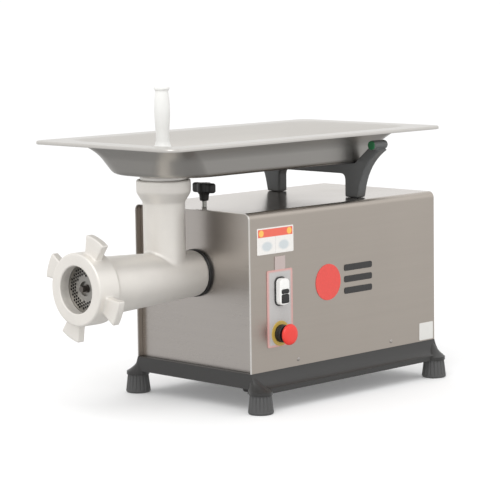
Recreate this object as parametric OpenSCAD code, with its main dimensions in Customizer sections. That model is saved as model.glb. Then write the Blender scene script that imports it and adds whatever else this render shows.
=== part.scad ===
// Countertop electric meat grinder: a sheet steel casing on a skirted base, with a
// geared motor inside, a cast grinding head in front and a feed tray on top.
// X runs from the grinding head (-X) to the back (+X), the controls face -Y and Z is up.
// The origin is the middle of the overall box, on the surface the feet stand on.

/* [Casing] */
// Length of the casing, front edge to back edge
casing_l = 424; // [340:1:520]
// Width of the casing
casing_w = 250; // [206:1:310]
// Height of the casing above the base
casing_h = 241; // [200:1:300]
// Thickness of the casing sheet
casing_sheet = 1.5; // [1:0.1:2.5]
// Outside radius of the bends along the top edges
casing_bend_r = 10; // [5:1:20]
// How far the front and back panels sit inside the sheet's edges
panel_recess = 10; // [4:1:20]
// Thickness of the front and back panels
panel_t = 3; // [2:0.5:5]

/* [Base and feet] */
// Height of the base skirt
base_h = 30; // [24:1:40]
// How far each long side of the base flares out
base_flare = 18; // [10:1:26]
// Height of the upright lip under the flare
base_lip_h = 7.5; // [5:0.5:12]
// Wall of the base
base_wall = 4; // [3:0.5:6]
// How much higher the base ends at the front and back than at the sides
base_end_rise = 7; // [0:1:12]
// Height of a foot
foot_h = 29; // [20:1:40]
// Radius of a foot where it stands
foot_r = 19.5; // [16:0.5:24]
// Radius of a foot at its top
foot_top_r = 16.5; // [14:0.5:20]
// Distance of the front feet's centres behind the casing's front edge
foot_inset_front = 9.5; // [6:0.5:20]
// Distance of the back feet's centres ahead of the casing's back edge
foot_inset_back = 14; // [10:0.5:24]
// Distance of the feet's centres outside the casing's sides
foot_overhang = 10.5; // [6:0.5:16]
// Radius of the screw that holds a foot
foot_screw_r = 3; // [2.5:0.5:4]

/* [Grinding head] */
// Depth of the head's axis below the casing's top
head_drop = 99; // [80:1:110]
// Radius of the bore that the feed screw turns in
barrel_bore_r = 33; // [27:0.5:40]
// Width of the step that the hole plate sits on
plate_step = 8; // [6:0.5:10]
// Wall around the hole plate, out to the ring nut's thread
thread_wall = 5.7; // [4:0.1:8]
// Wall of the barrel behind the ring nut
barrel_wall = 11; // [8:0.5:14]
// Length of the barrel in front of the casing's front edge
barrel_l = 211.5; // [190:0.5:260]
// Radius of the spigot that plugs into the gearbox
spigot_r = 32; // [30:0.5:42]
// Length of the spigot behind the casing's front edge
spigot_l = 46; // [40:1:60]
// Distance of the neck's axis in front of the casing
neck_reach = 54; // [44:1:66]
// Inside radius of the neck
neck_bore_r = 27.25; // [22:0.25:33]
// Wall of the neck
neck_wall = 4.5; // [3:0.5:6]
// Height of the neck's cup above the head's axis
neck_rise = 148; // [130:1:180]
// Depth of the cup that takes the tray's spout
cup_h = 20; // [14:1:30]
// Wall of the cup
cup_wall = 4.7; // [3:0.1:7]
// Length of the ring nut
ring_l = 40; // [30:1:50]
// Wall of the ring nut around its thread
ring_wall = 7.22; // [5:0.02:10]
// Thickness of the ring nut's front rim
ring_rim = 18; // [12:0.5:24]
// Reach of the ring nut's lugs beyond its side
lug_reach = 28; // [15:1:35]
// Turn of the lugs about the head's axis
lug_turn = 22; // [0:1:44]
// Thickness of the hole plate
plate_t = 8; // [5:0.5:12]
// Radius of the holes in the plate
plate_hole_r = 1.9; // [1.5:0.1:4]
// Metal left between neighbouring holes of the plate
plate_web = 1.1; // [0.8:0.1:3]
// Pitch of the feed screw's flight
flight_pitch = 52; // [36:1:70]

/* [Drive] */
// Tooth size of the gears
gear_module = 1.75; // [1.5:0.05:2.1]
// Teeth on each small gear
pinion_teeth = 16; // [14:1:20]
// Teeth on each large gear
gear_teeth = 48; // [36:1:52]
// Face width of the output gears
output_gear_w = 24; // [16:1:28]
// Face width of the input gears
input_gear_w = 16; // [12:1:20]
// Radius of the output shaft
output_shaft_r = 15; // [12:0.5:17]
// Radius of the middle shaft
layshaft_r = 10; // [8:0.5:11]
// Radius of the motor's shaft
motor_shaft_r = 9; // [7:0.5:10]
// Outside radius of the motor
motor_r = 70; // [58:1:80]
// Length of the motor's frame
motor_l = 130; // [100:5:150]

/* [Tray and pusher] */
// Length of the tray over its flange
tray_l = 596; // [480:5:720]
// Width of the tray over its flange
tray_w = 308; // [250:5:360]
// Depth of the tray from its flange to its floor
tray_depth = 51; // [40:1:65]
// Width of the tray's flange
flange_w = 45; // [30:1:55]
// Depth of the lip turned down around the flange
lip_h = 5; // [4:1:12]
// How far the pan narrows at each end on its way down
end_slope = 32; // [10:1:45]
// How far the pan narrows at each side on its way down
side_slope = 20; // [8:1:28]
// Sheet of the tray
tray_sheet = 1.5; // [1:0.1:2.5]
// Reach of the tray in front of the casing
tray_reach = 181; // [160:1:240]
// Outside radius of the tray's spout
spout_r = 35.5; // [30:0.5:42]
// Height of the pusher above the tray's flange
pusher_rise = 80; // [60:1:120]
// Radius of the pusher's grip
grip_r = 12; // [9:0.5:15]

/* [Yoke] */
// Distance of the yoke's middle behind the casing's front edge
yoke_x = 278.5; // [240:0.5:320]
// Thickness of the yoke
yoke_t = 19; // [14:1:26]
// Distance of a leg's outer face from the middle
leg_out = 99; // [80:1:110]
// Width of a leg
leg_w = 27; // [20:1:34]
// Thickness of the cross beam
beam_t = 18; // [12:1:26]
// Radius of the boss at each arm's tip
boss_r = 7.5; // [5:0.5:9]
// Length of the boss at each arm's tip
boss_l = 33; // [22:1:40]

/* [Controls] */
// Distance of the switch and stop button behind the casing's front edge
control_x = 63.5; // [50:0.5:90]
// Height of the start-stop switch above the casing's bottom
switch_z = 119; // [100:1:150]
// Height of the emergency stop above the casing's bottom
estop_z = 55; // [40:1:70]
// Radius of the emergency stop's head
estop_r = 16; // [12:0.5:20]
// Travel of the emergency stop
estop_travel = 5; // [3:0.5:6]
// Travel of the start and stop buttons
button_travel = 2.5; // [1.5:0.5:3]
// Radius of the clamp knob's screw
knob_screw_r = 4; // [3:0.5:5]
// Distance of the clamp knob behind the casing's front edge
knob_x = 30; // [26:1:36]

/* [Hidden] */
$fn = 96;

// clearances
seat_gap = 0.3;
running_gap = 0.05;
fit_gap = 0.02;

// along the machine: the box runs from the ring nut's face to the back feet's edge
ring_reach = barrel_l + ring_rim + 2;
back_reach = casing_l - foot_inset_back + foot_r;
front_x = (ring_reach - back_reach) / 2;
back_x = front_x + casing_l;
ring_x = front_x - ring_reach;
barrel_x = front_x - barrel_l;
neck_x = front_x - neck_reach;

// heights
casing_z = foot_h + base_h;
top_z = casing_z + casing_h;
head_z = top_z - head_drop;
cup_z = head_z + neck_rise;
tray_floor_z = cup_z + 8;
tray_z = tray_floor_z + tray_depth;

// base
lip_y = casing_w / 2 + base_flare;
foot_x = [front_x + foot_inset_front, back_x - foot_inset_back];
foot_y = casing_w / 2 + foot_overhang;
socket_r = foot_top_r + 1.5;
deck_t = 4;
rim_h = 16;
rim_gap = 0.2;
rivet_r = 2;
rivet_x = [front_x + 103, back_x - 107];
rivet_z = casing_z + 10;
gland_x = front_x + 30;
gland_y = -casing_w / 2 + 34;
gland_r = 8;
cord_hole_r = 4;

// grinding head
plate_r = barrel_bore_r + plate_step;
thread_r = plate_r + seat_gap + thread_wall;
barrel_r = barrel_bore_r + barrel_wall;
ring_r = thread_r + running_gap + ring_wall;
ring_bore_r = thread_r + running_gap;
ring_opening_r = barrel_bore_r + 1.75;
ring_mouth_l = min(9.5, ring_rim - 2);
thread_l = ring_l - ring_rim + 2;
seat_depth = 14;
plate_x = barrel_x - 2;
knife_x = plate_x + plate_t + seat_gap;
knife_t = 7;
bore_end_x = front_x - 16;
bush_r = 19;
bush_l = 26;
journal_r = 15;
tang_w = 18;
tang_l = 20;
stud_r = 6;
stud_reach = 7.5;
neck_r = neck_bore_r + neck_wall;
cup_bore_r = spout_r + 0.8;
cup_r = cup_bore_r + cup_wall;
collar_t = 5;
collar_x = front_x + panel_recess - collar_t;
barrel_back_r = max(spigot_r + 1, barrel_bore_r + 2);
collar_r = barrel_back_r + 1.5;

// drive line, front to back
centre_distance = gear_module * (pinion_teeth + gear_teeth) / 2;
lay_angle = 315;
lay_y = centre_distance * cos(lay_angle);
lay_z = head_z + centre_distance * sin(lay_angle);
gear_tip_r = gear_module * (gear_teeth / 2 + 0.8);
box_wall = 6;
boss_r_out = spigot_r + 11;
box_x = front_x + spigot_l + 4;
front_bearing_t = 14;
output_gear_x = box_x + front_bearing_t + 4;
carrier_x = output_gear_x + output_gear_w + 3;
carrier_t = 11;
input_gear_x = carrier_x + carrier_t + 6;
cover_x = input_gear_x + input_gear_w + 4;
cover_t = 14;
motor_x = cover_x + cover_t;
shield_t = 12;
fan_x = motor_x + motor_l + shield_t + 4;
fan_t = 16;
cowl_l = 26;
box_side_r = gear_tip_r + 5 + box_wall;
layshaft_bearing_r = layshaft_r + 11;
output_bearing_r = output_shaft_r + 16;
carrier_bearing_r = output_shaft_r + 11;
motor_bearing_r = motor_shaft_r + 11;
rotor_r = motor_r - 30;
clamp_hole_z = head_z + spigot_r;

// tray, yoke and pusher
tray_x = front_x - tray_reach;
tray_mid_x = tray_x + tray_l / 2;
spout_l = cup_h - 3;
plunger_r = neck_bore_r - 2.25;
plunger_z = tray_floor_z - 57;
leg_in = leg_out - leg_w;
boss_y = leg_out + 36.5;
boss_z = tray_floor_z + 28;
arm_foot_y = tray_w / 2 - flange_w - side_slope + tray_sheet + 1.5;
yoke_screw_r = 3;

// controls
side_y = -casing_w / 2;
control_plate_t = 1;
film_w = 55;
film_h = 117;
film_z = casing_z + 93.5;
tab_w = 22;
tab_h = 26;
bezel_w = 24;
bezel_l = 44;
bezel_t = 2;
bezel_y = side_y - control_plate_t;
housing_w = bezel_w - 3.5;
housing_l = bezel_l - 4;
body_w = housing_w - 5;
body_l = housing_l - 6;
well_y = bezel_y - bezel_t - 1;
switch_top_y = side_y - 12;
button_w = housing_w - 4.5;
button_h = [14, 7];
button_proud = 1.5;
stalk_w = 4.5;
estop_collar_l = 10;
estop_head_l = 7.5;
knob_z = top_z + 22;

function button_z(s) = casing_z + switch_z + [-10.5, 0.6][s];
// the involute of a circle, as the angle it has turned through in degrees
function involute(a) = (tan(a) - a * PI / 180) * 180 / PI;
// half the angle that a tooth covers at radius r, thinned a little for backlash
function tooth_half(r, teeth, base_r) =
    90 / teeth * 0.96 + involute(20) - involute(acos(min(1, base_r / max(r, base_r))));
// where a mating gear's first tooth points, for a gear whose first tooth points along 0
function mesh_turn(teeth, direction, mate_teeth) =
    direction + 180 - (0.5 - direction * teeth / 360) * 360 / mate_teeth;
// points of a quarter-like curve from a to c, pulled towards b
function bend(a, b, c, steps) =
    [for (i = [0:steps]) let (t = i / steps) (1 - t) * (1 - t) * a + 2 * t * (1 - t) * b + t * t * c];

// turns an outline drawn in (Y, Z) into a solid that runs along +X from x
module along_x(x, length) {
    translate([x, 0, 0]) rotate([90, 0, 90]) linear_extrude(length) children();
}

// a round bar along +X
module bar_x(x, y, z, r, length) {
    translate([x, y, z]) rotate([0, 90, 0]) cylinder(r = r, h = length);
}

// a square prism along +X
module square_x(x, y, z, w, length) {
    translate([x, y - w / 2, z - w / 2]) cube([length, w, w]);
}

// an upright outline with its two top corners rounded
module arch(w, h, r) {
    translate([-w / 2, 0]) square([w, h - r]);
    translate([-w / 2 + r, 0]) square([w - 2 * r, h]);
    for (s = [-1, 1]) translate([s * (w / 2 - r), h - r]) circle(r = r);
}

// a rectangle with its four corners rounded
module rounded(w, h, r) {
    translate([-w / 2, -h / 2 + r]) square([w, h - 2 * r]);
    translate([-w / 2 + r, -h / 2]) square([w - 2 * r, h]);
    for (sx = [-1, 1], sy = [-1, 1])
        translate([sx * (w / 2 - r), sy * (h / 2 - r)]) circle(r = r);
}

// a plate on the near side: its outline is drawn in (X, Z) and its back lies at y
module on_side(x, y, z, t) {
    translate([x, y, z]) rotate([90, 0, 0]) linear_extrude(t) children();
}

// a spur gear's outline, its first tooth pointing along +X
module gear_outline(teeth) {
    pitch_r = gear_module * teeth / 2;
    base_r = pitch_r * cos(20);
    root_r = pitch_r - gear_module * 1.1;
    tip_r = pitch_r + gear_module * 0.8;
    flank = [root_r, max(base_r, root_r + 0.1), pitch_r, (pitch_r + tip_r) / 2, tip_r];
    polygon([for (k = [0:teeth - 1]) let (mid = 360 * k / teeth)
        each concat(
            [for (r = flank) let (a = mid - tooth_half(r, teeth, base_r)) r * [cos(a), sin(a)]],
            [for (i = [4:-1:0]) let (r = flank[i], a = mid + tooth_half(r, teeth, base_r))
                r * [cos(a), sin(a)]])]);
}

// a gear on a shaft along X
module gear(x, y, z, teeth, w, bore_r, turn) {
    difference() {
        translate([0, y, z]) along_x(x, w) rotate(turn) gear_outline(teeth);
        bar_x(x - 1, y, z, bore_r, w + 2);
    }
}

// a ball bearing, drawn closed, on a shaft along X
module bearing(x, y, z, r_in, r_out, w) {
    race = (r_out - r_in) / 3.4;
    difference() {
        bar_x(x, y, z, r_out, w);
        bar_x(x - 1, y, z, r_in, w + 2);
        for (face_x = [x - 1, x + w - 1]) difference() {
            bar_x(face_x, y, z, r_out - race, 2);
            bar_x(face_x - 1, y, z, r_in + race, 4);
        }
    }
}

// half of the base's section: the flare is a quarter-like curve, the lip stands upright
module base_side(inset) {
    half = casing_w / 2 - inset;
    lip = lip_y - inset;
    lip_top = foot_h + base_lip_h;
    polygon(concat([[0, casing_z - inset]],
        bend([half, casing_z - inset], [half + base_flare * 0.3, lip_top + 3], [lip, lip_top], 10),
        [[lip, foot_h - (inset > 0 ? 1 : 0)], [0, foot_h - (inset > 0 ? 1 : 0)]]));
}

module base_skirt() {
    color("dimgray") difference() {
        union() {
            difference() {
                for (m = [0, 1]) mirror([0, m, 0])
                    along_x(front_x, casing_l) base_side(0);
                for (m = [0, 1]) mirror([0, m, 0])
                    along_x(front_x + base_wall, casing_l - 2 * base_wall) base_side(deck_t);
                for (x = [front_x - 1, back_x - base_wall - 1])
                    translate([x, -foot_y + socket_r, foot_h - 1])
                        cube([base_wall + 2, 2 * (foot_y - socket_r), base_end_rise + 1]);
            }
            // foot sockets
            for (x = foot_x, s = [-1, 1]) translate([x, s * foot_y, foot_h]) {
                cylinder(r = socket_r, h = base_lip_h);
                translate([0, 0, base_lip_h]) cylinder(r1 = socket_r, r2 = 6, h = 16);
            }
            // rim that the casing sheet slips over
            translate([front_x + panel_recess + panel_t + 1, 0, casing_z - 0.5]) difference() {
                rim_l = casing_l - 2 * (panel_recess + panel_t + 1);
                rim_w = casing_w - 2 * (casing_sheet + rim_gap);
                translate([0, -rim_w / 2, 0]) cube([rim_l, rim_w, rim_h + 0.5]);
                translate([3, -rim_w / 2 + 3, -1]) cube([rim_l - 6, rim_w - 6, rim_h + 2]);
            }
        }
        for (x = foot_x, s = [-1, 1]) translate([x, s * foot_y, foot_h - 1])
            cylinder(r = foot_screw_r + fit_gap, h = 13);
        for (x = rivet_x, s = [-1, 1]) translate([x, s * (casing_w / 2 - 6), rivet_z])
            rotate([90, 0, 0]) cylinder(r = rivet_r + fit_gap, h = 12, center = true);
        translate([gland_x, gland_y, casing_z - deck_t - 1])
            cylinder(r = gland_r + fit_gap, h = deck_t + 2);
        // air slots in the deck under the motor
        for (i = [0:5]) translate([motor_x + 30 + i * 16, -40, casing_z - deck_t - 1])
            cube([7, 80, deck_t + 2]);
    }
}

// a foot: ix picks front or back, side is -1 near the controls and 1 on the far side
module foot(ix, side) {
    color([0.33, 0.33, 0.34]) translate([foot_x[ix], side * foot_y, 0]) difference() {
        union() {
            cylinder(r1 = foot_r - 1, r2 = foot_r, h = 2);
            translate([0, 0, 2]) cylinder(r1 = foot_r, r2 = foot_top_r, h = foot_h - 2);
        }
        translate([0, 0, -1]) cylinder(r = foot_screw_r + fit_gap, h = foot_h + 2);
        translate([0, 0, -1]) cylinder(r = foot_screw_r + 4.5, h = 11);
    }
}

module foot_screws() {
    color("silver") for (x = foot_x, s = [-1, 1]) translate([x, s * foot_y, 5]) {
        cylinder(r = foot_screw_r + 3, h = 5);
        translate([0, 0, 5]) cylinder(r = foot_screw_r, h = foot_h);
    }
}

module casing_wrap() {
    color([0.66, 0.63, 0.59]) difference() {
        along_x(front_x, casing_l) translate([0, casing_z]) difference() {
            arch(casing_w, casing_h, casing_bend_r);
            translate([0, -1]) arch(casing_w - 2 * casing_sheet, casing_h - casing_sheet + 1,
                                    casing_bend_r - casing_sheet);
        }
        translate([front_x + knob_x, 0, top_z - 5]) cylinder(r = knob_screw_r + 0.5, h = 10);
        for (s = [-1, 1]) translate([front_x + yoke_x, s * (leg_in + leg_w / 2), top_z - 5])
            cylinder(r = yoke_screw_r + fit_gap, h = 10);
        for (x = rivet_x, s = [-1, 1]) translate([x, s * (casing_w / 2 - 1), rivet_z])
            rotate([90, 0, 0]) cylinder(r = rivet_r + fit_gap, h = 8, center = true);
        on_side(front_x + control_x, side_y + casing_sheet + 1, casing_z + switch_z, casing_sheet + 2)
            square([body_w + 0.4, body_l + 0.4], center = true);
        translate([front_x + control_x, side_y + 3, casing_z + estop_z])
            rotate([90, 0, 0]) cylinder(r = 11 + fit_gap, h = 6);
    }
}

// the outline of a panel that fills the casing's end, with its fold's clearance
module panel_outline() {
    translate([0, casing_z + seat_gap])
        arch(casing_w - 2 * (casing_sheet + seat_gap), casing_h - casing_sheet - 2 * seat_gap,
             casing_bend_r - casing_sheet);
}

module front_panel() {
    color([0.62, 0.6, 0.57]) difference() {
        along_x(front_x + panel_recess, panel_t) panel_outline();
        bar_x(front_x + panel_recess - 1, 0, head_z, spigot_r + 1, panel_t + 2);
    }
}

module panel_screw_hole(x, s) {
    for (z = [casing_z + 22, top_z - 22])
        bar_x(x, s * (casing_w / 2 - 16), z, 2 + fit_gap, panel_t + 2);
}

module rear_panel() {
    slot_h = 5;
    color([0.62, 0.6, 0.57]) difference() {
        along_x(back_x - panel_recess - panel_t, panel_t) panel_outline();
        for (i = [0:7], s = [-1, 1])
            translate([back_x - panel_recess - panel_t - 1, s * 48 - 35, casing_z + 60 + i * 14])
                cube([panel_t + 2, 70, slot_h]);
        for (s = [-1, 1]) panel_screw_hole(back_x - panel_recess - panel_t - 1, s);
    }
}

module casing_rivets() {
    color("gray") for (x = rivet_x, s = [-1, 1])
        translate([x, s * (casing_w / 2 + 0.8), rivet_z]) rotate([s * 90, 0, 0]) {
            cylinder(r = rivet_r + 1.2, h = 0.8);
            cylinder(r = rivet_r, h = 7);
        }
}

module panel_screws() {
    color("silver") for (z = [casing_z + 22, top_z - 22], s = [-1, 1]) {
        y = s * (casing_w / 2 - 16);
        bar_x(back_x - panel_recess, y, z, 3.5, 2);
        bar_x(back_x - panel_recess - 8, y, z, 2, 8);
    }
}

module cable_gland() {
    color([0.08, 0.08, 0.08]) translate([gland_x, gland_y, 0]) difference() {
        union() {
            translate([0, 0, casing_z - deck_t - 29]) cylinder(r = gland_r + 2, h = 29);
            translate([0, 0, casing_z - deck_t]) cylinder(r = gland_r, h = deck_t + 6);
            translate([0, 0, casing_z + seat_gap]) cylinder(r = gland_r + 3, h = 4, $fn = 6);
        }
        translate([0, 0, casing_z - deck_t - 30]) cylinder(r = cord_hole_r, h = deck_t + 50);
    }
}

module head_casting() {
    color([0.84, 0.82, 0.78]) difference() {
        union() {
            bar_x(barrel_x, 0, head_z, thread_r, thread_l);
            translate([barrel_x + thread_l, 0, head_z]) rotate([0, 90, 0])
                cylinder(r1 = barrel_r, r2 = barrel_back_r, h = collar_x - seat_gap - barrel_x - thread_l);
            bar_x(front_x - 5, 0, head_z, spigot_r - running_gap, spigot_l + 5);
            translate([neck_x, 0, head_z]) cylinder(r = neck_r, h = neck_rise - cup_h - 14);
            translate([neck_x, 0, cup_z - cup_h - 14.5])
                cylinder(r1 = neck_r, r2 = cup_r, h = 14.5);
            translate([neck_x, 0, cup_z - cup_h]) cylinder(r = cup_r, h = cup_h);
        }
        bar_x(barrel_x - 1, 0, head_z, barrel_bore_r, bore_end_x - barrel_x + 1);
        bar_x(barrel_x - 1, 0, head_z, plate_r + seat_gap, seat_depth + 1);
        bar_x(bore_end_x - 1, 0, head_z, bush_r + fit_gap, spigot_l + 20);
        translate([neck_x, 0, head_z]) cylinder(r = neck_bore_r, h = neck_rise + 1);
        translate([neck_x, 0, cup_z - cup_h]) cylinder(r = cup_bore_r, h = cup_h + 1);
        bar_x(barrel_x - 1, 0, head_z - plate_r, 2 + fit_gap, seat_depth - 3);
    }
}

module head_collar() {
    color([0.07, 0.07, 0.07]) difference() {
        union() {
            bar_x(collar_x, 0, head_z, collar_r, collar_t);
            bar_x(collar_x, 0, head_z, spigot_r + 1 - fit_gap, collar_t + panel_t);
        }
        bar_x(collar_x - 1, 0, head_z, spigot_r + fit_gap, 30);
    }
}

module screw_bush() {
    color([0.72, 0.55, 0.3]) difference() {
        bar_x(bore_end_x + 2, 0, head_z, bush_r, bush_l);
        bar_x(bore_end_x, 0, head_z, journal_r + running_gap, bush_l + 4);
    }
}

module hole_plate() {
    hub_bore_r = stud_r + 5;
    hub_r = hub_bore_r + 6;
    pitch = 2 * plate_hole_r + plate_web;
    n = ceil(2 * barrel_bore_r / pitch);
    spots = [for (i = [-n:n], j = [-n:n])
             let (spot = pitch * [i + j / 2, j * sqrt(3) / 2], r = norm(spot) + plate_hole_r)
             if (norm(spot) > hub_r + plate_hole_r && r < barrel_bore_r) spot];
    color([0.55, 0.54, 0.52]) difference() {
        bar_x(plate_x, 0, head_z, plate_r, plate_t);
        bar_x(plate_x - 1, 0, head_z, stud_r + running_gap, plate_t + 2);
        bar_x(plate_x - 1, 0, head_z, hub_bore_r, 5);
        bar_x(plate_x - 1, 0, head_z - plate_r, 2 + fit_gap, plate_t + 2);
        translate([0, 0, head_z]) rotate([38, 0, 0]) for (spot = spots)
            bar_x(plate_x - 1, spot[0], spot[1], plate_hole_r, plate_t + 2, $fn = 24);
    }
}

module plate_pin() {
    color("silver")
        bar_x(barrel_x + seat_gap, 0, head_z - plate_r, 2, seat_depth - 5);
}

// one lug of the ring nut: a wing that widens outwards and ends on an arc
module lug_outline() {
    root_half = 11;
    tip_half = 19;
    intersection() {
        circle(r = ring_r + lug_reach);
        polygon([[ring_r - 6, -root_half], [ring_r + lug_reach + 5, -tip_half],
                 [ring_r + lug_reach + 5, tip_half], [ring_r - 6, root_half]]);
    }
}

module ring_nut() {
    color([0.86, 0.84, 0.8]) difference() {
        union() {
            bar_x(ring_x, 0, head_z, ring_r, ring_l);
            translate([0, 0, head_z]) along_x(ring_x + 12, 12)
                for (k = [0:3]) rotate(lug_turn + 90 * k) lug_outline();
        }
        bar_x(ring_x - 1, 0, head_z, ring_opening_r, ring_l + 2);
        bar_x(ring_x + ring_mouth_l, 0, head_z, ring_opening_r + 1.25, ring_l);
        bar_x(ring_x + ring_rim - 0.5, 0, head_z, plate_r + 0.6, ring_l);
        bar_x(ring_x + ring_rim + 2, 0, head_z, ring_bore_r, ring_l);
    }
}

module feed_screw() {
    flight_x = knife_x + knife_t + 1;
    flight_l = bore_end_x - 2 - flight_x;
    flight_r = barrel_bore_r - 1.2;
    core_r = 13;
    color([0.8, 0.79, 0.76]) {
        bar_x(flight_x, 0, head_z, core_r, flight_l + 0.2);
        translate([0, 0, head_z]) translate([flight_x, 0, 0]) rotate([90, 0, 90])
            linear_extrude(flight_l, twist = 360 * flight_l / flight_pitch, slices = 72, $fn = 24)
                polygon(concat([[core_r - 3, 5], [core_r - 3, -5]],
                    [for (a = [-18:9:18]) flight_r * [cos(a), sin(a)]]));
        bar_x(flight_x + flight_l, 0, head_z, journal_r, bush_l + 4);
        square_x(flight_x + flight_l + bush_l + 4, 0, head_z, tang_w, tang_l);
        square_x(knife_x, 0, head_z, 16, flight_x - knife_x + 0.1);
        bar_x(plate_x + 1, 0, head_z, stud_r, knife_x - plate_x);
        bar_x(plate_x - stud_reach, 0, head_z, stud_r - 1.5, stud_reach + 2);
    }
}

module cutting_knife() {
    blade_r = plate_r - 2.5;
    color([0.7, 0.7, 0.7]) difference() {
        union() {
            bar_x(knife_x, 0, head_z, 15, knife_t);
            translate([0, 0, head_z]) along_x(knife_x, knife_t) for (k = [0:3]) rotate(90 * k + 12)
                polygon([[8, -7], [blade_r, -3], [blade_r, 5], [8, 7]]);
        }
        square_x(knife_x - 1, 0, head_z, 16.1, knife_t + 2);
    }
}

module output_shaft() {
    tang_x = bore_end_x + bush_l + 2;
    color([0.6, 0.6, 0.62]) difference() {
        union() {
            bar_x(tang_x + 2, 0, head_z, bush_r - 1.5, box_x - tang_x - 2 - seat_gap);
            bar_x(box_x - 1, 0, head_z, output_shaft_r, carrier_x + carrier_t + 2 - box_x);
        }
        square_x(tang_x, 0, head_z, tang_w + 0.2, tang_l + 3);
    }
}

module output_gear() {
    color([0.5, 0.5, 0.52])
        gear(output_gear_x, 0, head_z, gear_teeth, output_gear_w, output_shaft_r + fit_gap, 0);
}

module layshaft() {
    color([0.6, 0.6, 0.62])
        bar_x(box_x + 2.5, lay_y, lay_z, layshaft_r, cover_x + 8 - box_x);
}

module layshaft_pinion() {
    color([0.5, 0.5, 0.52])
        gear(output_gear_x - 1, lay_y, lay_z, pinion_teeth, output_gear_w + 2,
             layshaft_r + fit_gap, mesh_turn(gear_teeth, lay_angle, pinion_teeth));
}

module layshaft_gear() {
    color([0.5, 0.5, 0.52])
        gear(input_gear_x, lay_y, lay_z, gear_teeth, input_gear_w, layshaft_r + fit_gap, 0);
}

module motor_shaft() {
    color([0.6, 0.6, 0.62])
        bar_x(input_gear_x - 2, 0, head_z, motor_shaft_r, fan_x + fan_t + 4 - input_gear_x);
}

module motor_pinion() {
    color([0.5, 0.5, 0.52])
        gear(input_gear_x - 1, 0, head_z, pinion_teeth, input_gear_w + 2, motor_shaft_r + fit_gap,
             mesh_turn(gear_teeth, lay_angle - 180, pinion_teeth));
}

module motor_rotor() {
    color([0.45, 0.45, 0.47]) difference() {
        bar_x(motor_x + 25, 0, head_z, rotor_r, motor_l - 50);
        bar_x(motor_x + 20, 0, head_z, motor_shaft_r + fit_gap, motor_l);
    }
}

module motor_fan() {
    blade_r = motor_r - 12;
    color([0.2, 0.2, 0.2]) difference() {
        union() {
            bar_x(fan_x, 0, head_z, motor_shaft_r + 8, fan_t);
            bar_x(fan_x, 0, head_z, blade_r - 8, 2.5);
            for (k = [0:8]) translate([0, 0, head_z]) along_x(fan_x, fan_t)
                rotate(40 * k) translate([motor_shaft_r + 5, -1.2])
                    square([blade_r - motor_shaft_r - 5, 2.4]);
        }
        bar_x(fan_x - 1, 0, head_z, motor_shaft_r + fit_gap, fan_t + 2);
    }
}

// the gearbox's outline in (Y, Z), grown by g: a round case about each shaft
module box_outline(g) {
    translate([0, head_z]) circle(r = box_side_r + g);
    translate([lay_y, lay_z]) circle(r = box_side_r + g);
}

// the same outline with the lugs that its screws go through
module lugged_outline(g) {
    box_outline(g);
    for (p = box_screws) translate(p) circle(r = 6 + g);
}

// where the screws around the gearbox's edge go, as (Y, Z)
box_screws = [for (a = [20, 90, 160]) [0, head_z] + (box_side_r - 3) * [cos(a), sin(a)],
              for (a = [270, 340]) [lay_y, lay_z] + (box_side_r - 3) * [cos(a), sin(a)]];

module gearbox_housing() {
    color([0.7, 0.7, 0.7]) difference() {
        union() {
            bar_x(front_x + panel_recess + panel_t + 1, 0, head_z, boss_r_out,
                  box_x - front_x - panel_recess - panel_t);
            along_x(box_x, cover_x - box_x) lugged_outline(0);
        }
        along_x(box_x + front_bearing_t, cover_x - box_x) box_outline(-box_wall);
        bar_x(front_x, 0, head_z, spigot_r, spigot_l + 1);
        bar_x(front_x + spigot_l, 0, head_z, bush_r, 10);
        bar_x(box_x, 0, head_z, output_bearing_r + fit_gap, front_bearing_t + 1);
        bar_x(box_x + 2, lay_y, lay_z, layshaft_bearing_r + fit_gap, front_bearing_t);
        translate([front_x + knob_x, 0, head_z])
            cylinder(r = knob_screw_r + running_gap, h = boss_r_out + 5);
        for (p = box_screws) bar_x(cover_x - 16, p[0], p[1], 2.5 + fit_gap, 18);
    }
}

module gearbox_cover() {
    color([0.66, 0.66, 0.66]) difference() {
        along_x(cover_x, cover_t) {
            lugged_outline(0);
            translate([0, head_z]) circle(r = motor_r);
        }
        bar_x(cover_x - 1, 0, head_z, motor_bearing_r + fit_gap, cover_t + 2);
        bar_x(cover_x - 1, lay_y, lay_z, layshaft_bearing_r + fit_gap, 12);
        for (p = box_screws) bar_x(cover_x - 1, p[0], p[1], 2.5 + fit_gap, cover_t + 2);
        for (p = box_screws) bar_x(cover_x + cover_t - 6, p[0], p[1], 5, 8);
    }
}

module gearbox_screws() {
    color("silver") for (p = box_screws) {
        bar_x(cover_x + cover_t - 6, p[0], p[1], 4.5, 4);
        bar_x(cover_x - 14, p[0], p[1], 2.5, cover_t + 9);
    }
}

// feet that carry the gearbox and the motor on the base's deck
module gearbox_bracket() {
    color([0.4, 0.4, 0.42]) for (x = [box_x + 10, motor_x + motor_l - 30]) {
        is_box = x < motor_x;
        difference() {
            translate([x, -60, casing_z]) cube([14, 120, head_z - casing_z]);
            if (is_box) along_x(x - 1, 16) lugged_outline(running_gap);
            if (is_box) translate([x - 1, -70, head_z - 40]) cube([16, 140, 80]);
            if (!is_box) bar_x(x - 1, 0, head_z, motor_r + running_gap, 16);
            if (!is_box) translate([x - 1, -70, head_z - 30]) cube([16, 140, 60]);
        }
    }
}

module bearing_carrier() {
    color([0.6, 0.6, 0.6]) difference() {
        along_x(carrier_x, carrier_t) box_outline(-box_wall - fit_gap);
        bar_x(carrier_x - 1, 0, head_z, carrier_bearing_r + fit_gap, carrier_t + 2);
        bar_x(carrier_x - 1, lay_y, lay_z, layshaft_r + 3, carrier_t + 2);
    }
}

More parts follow.
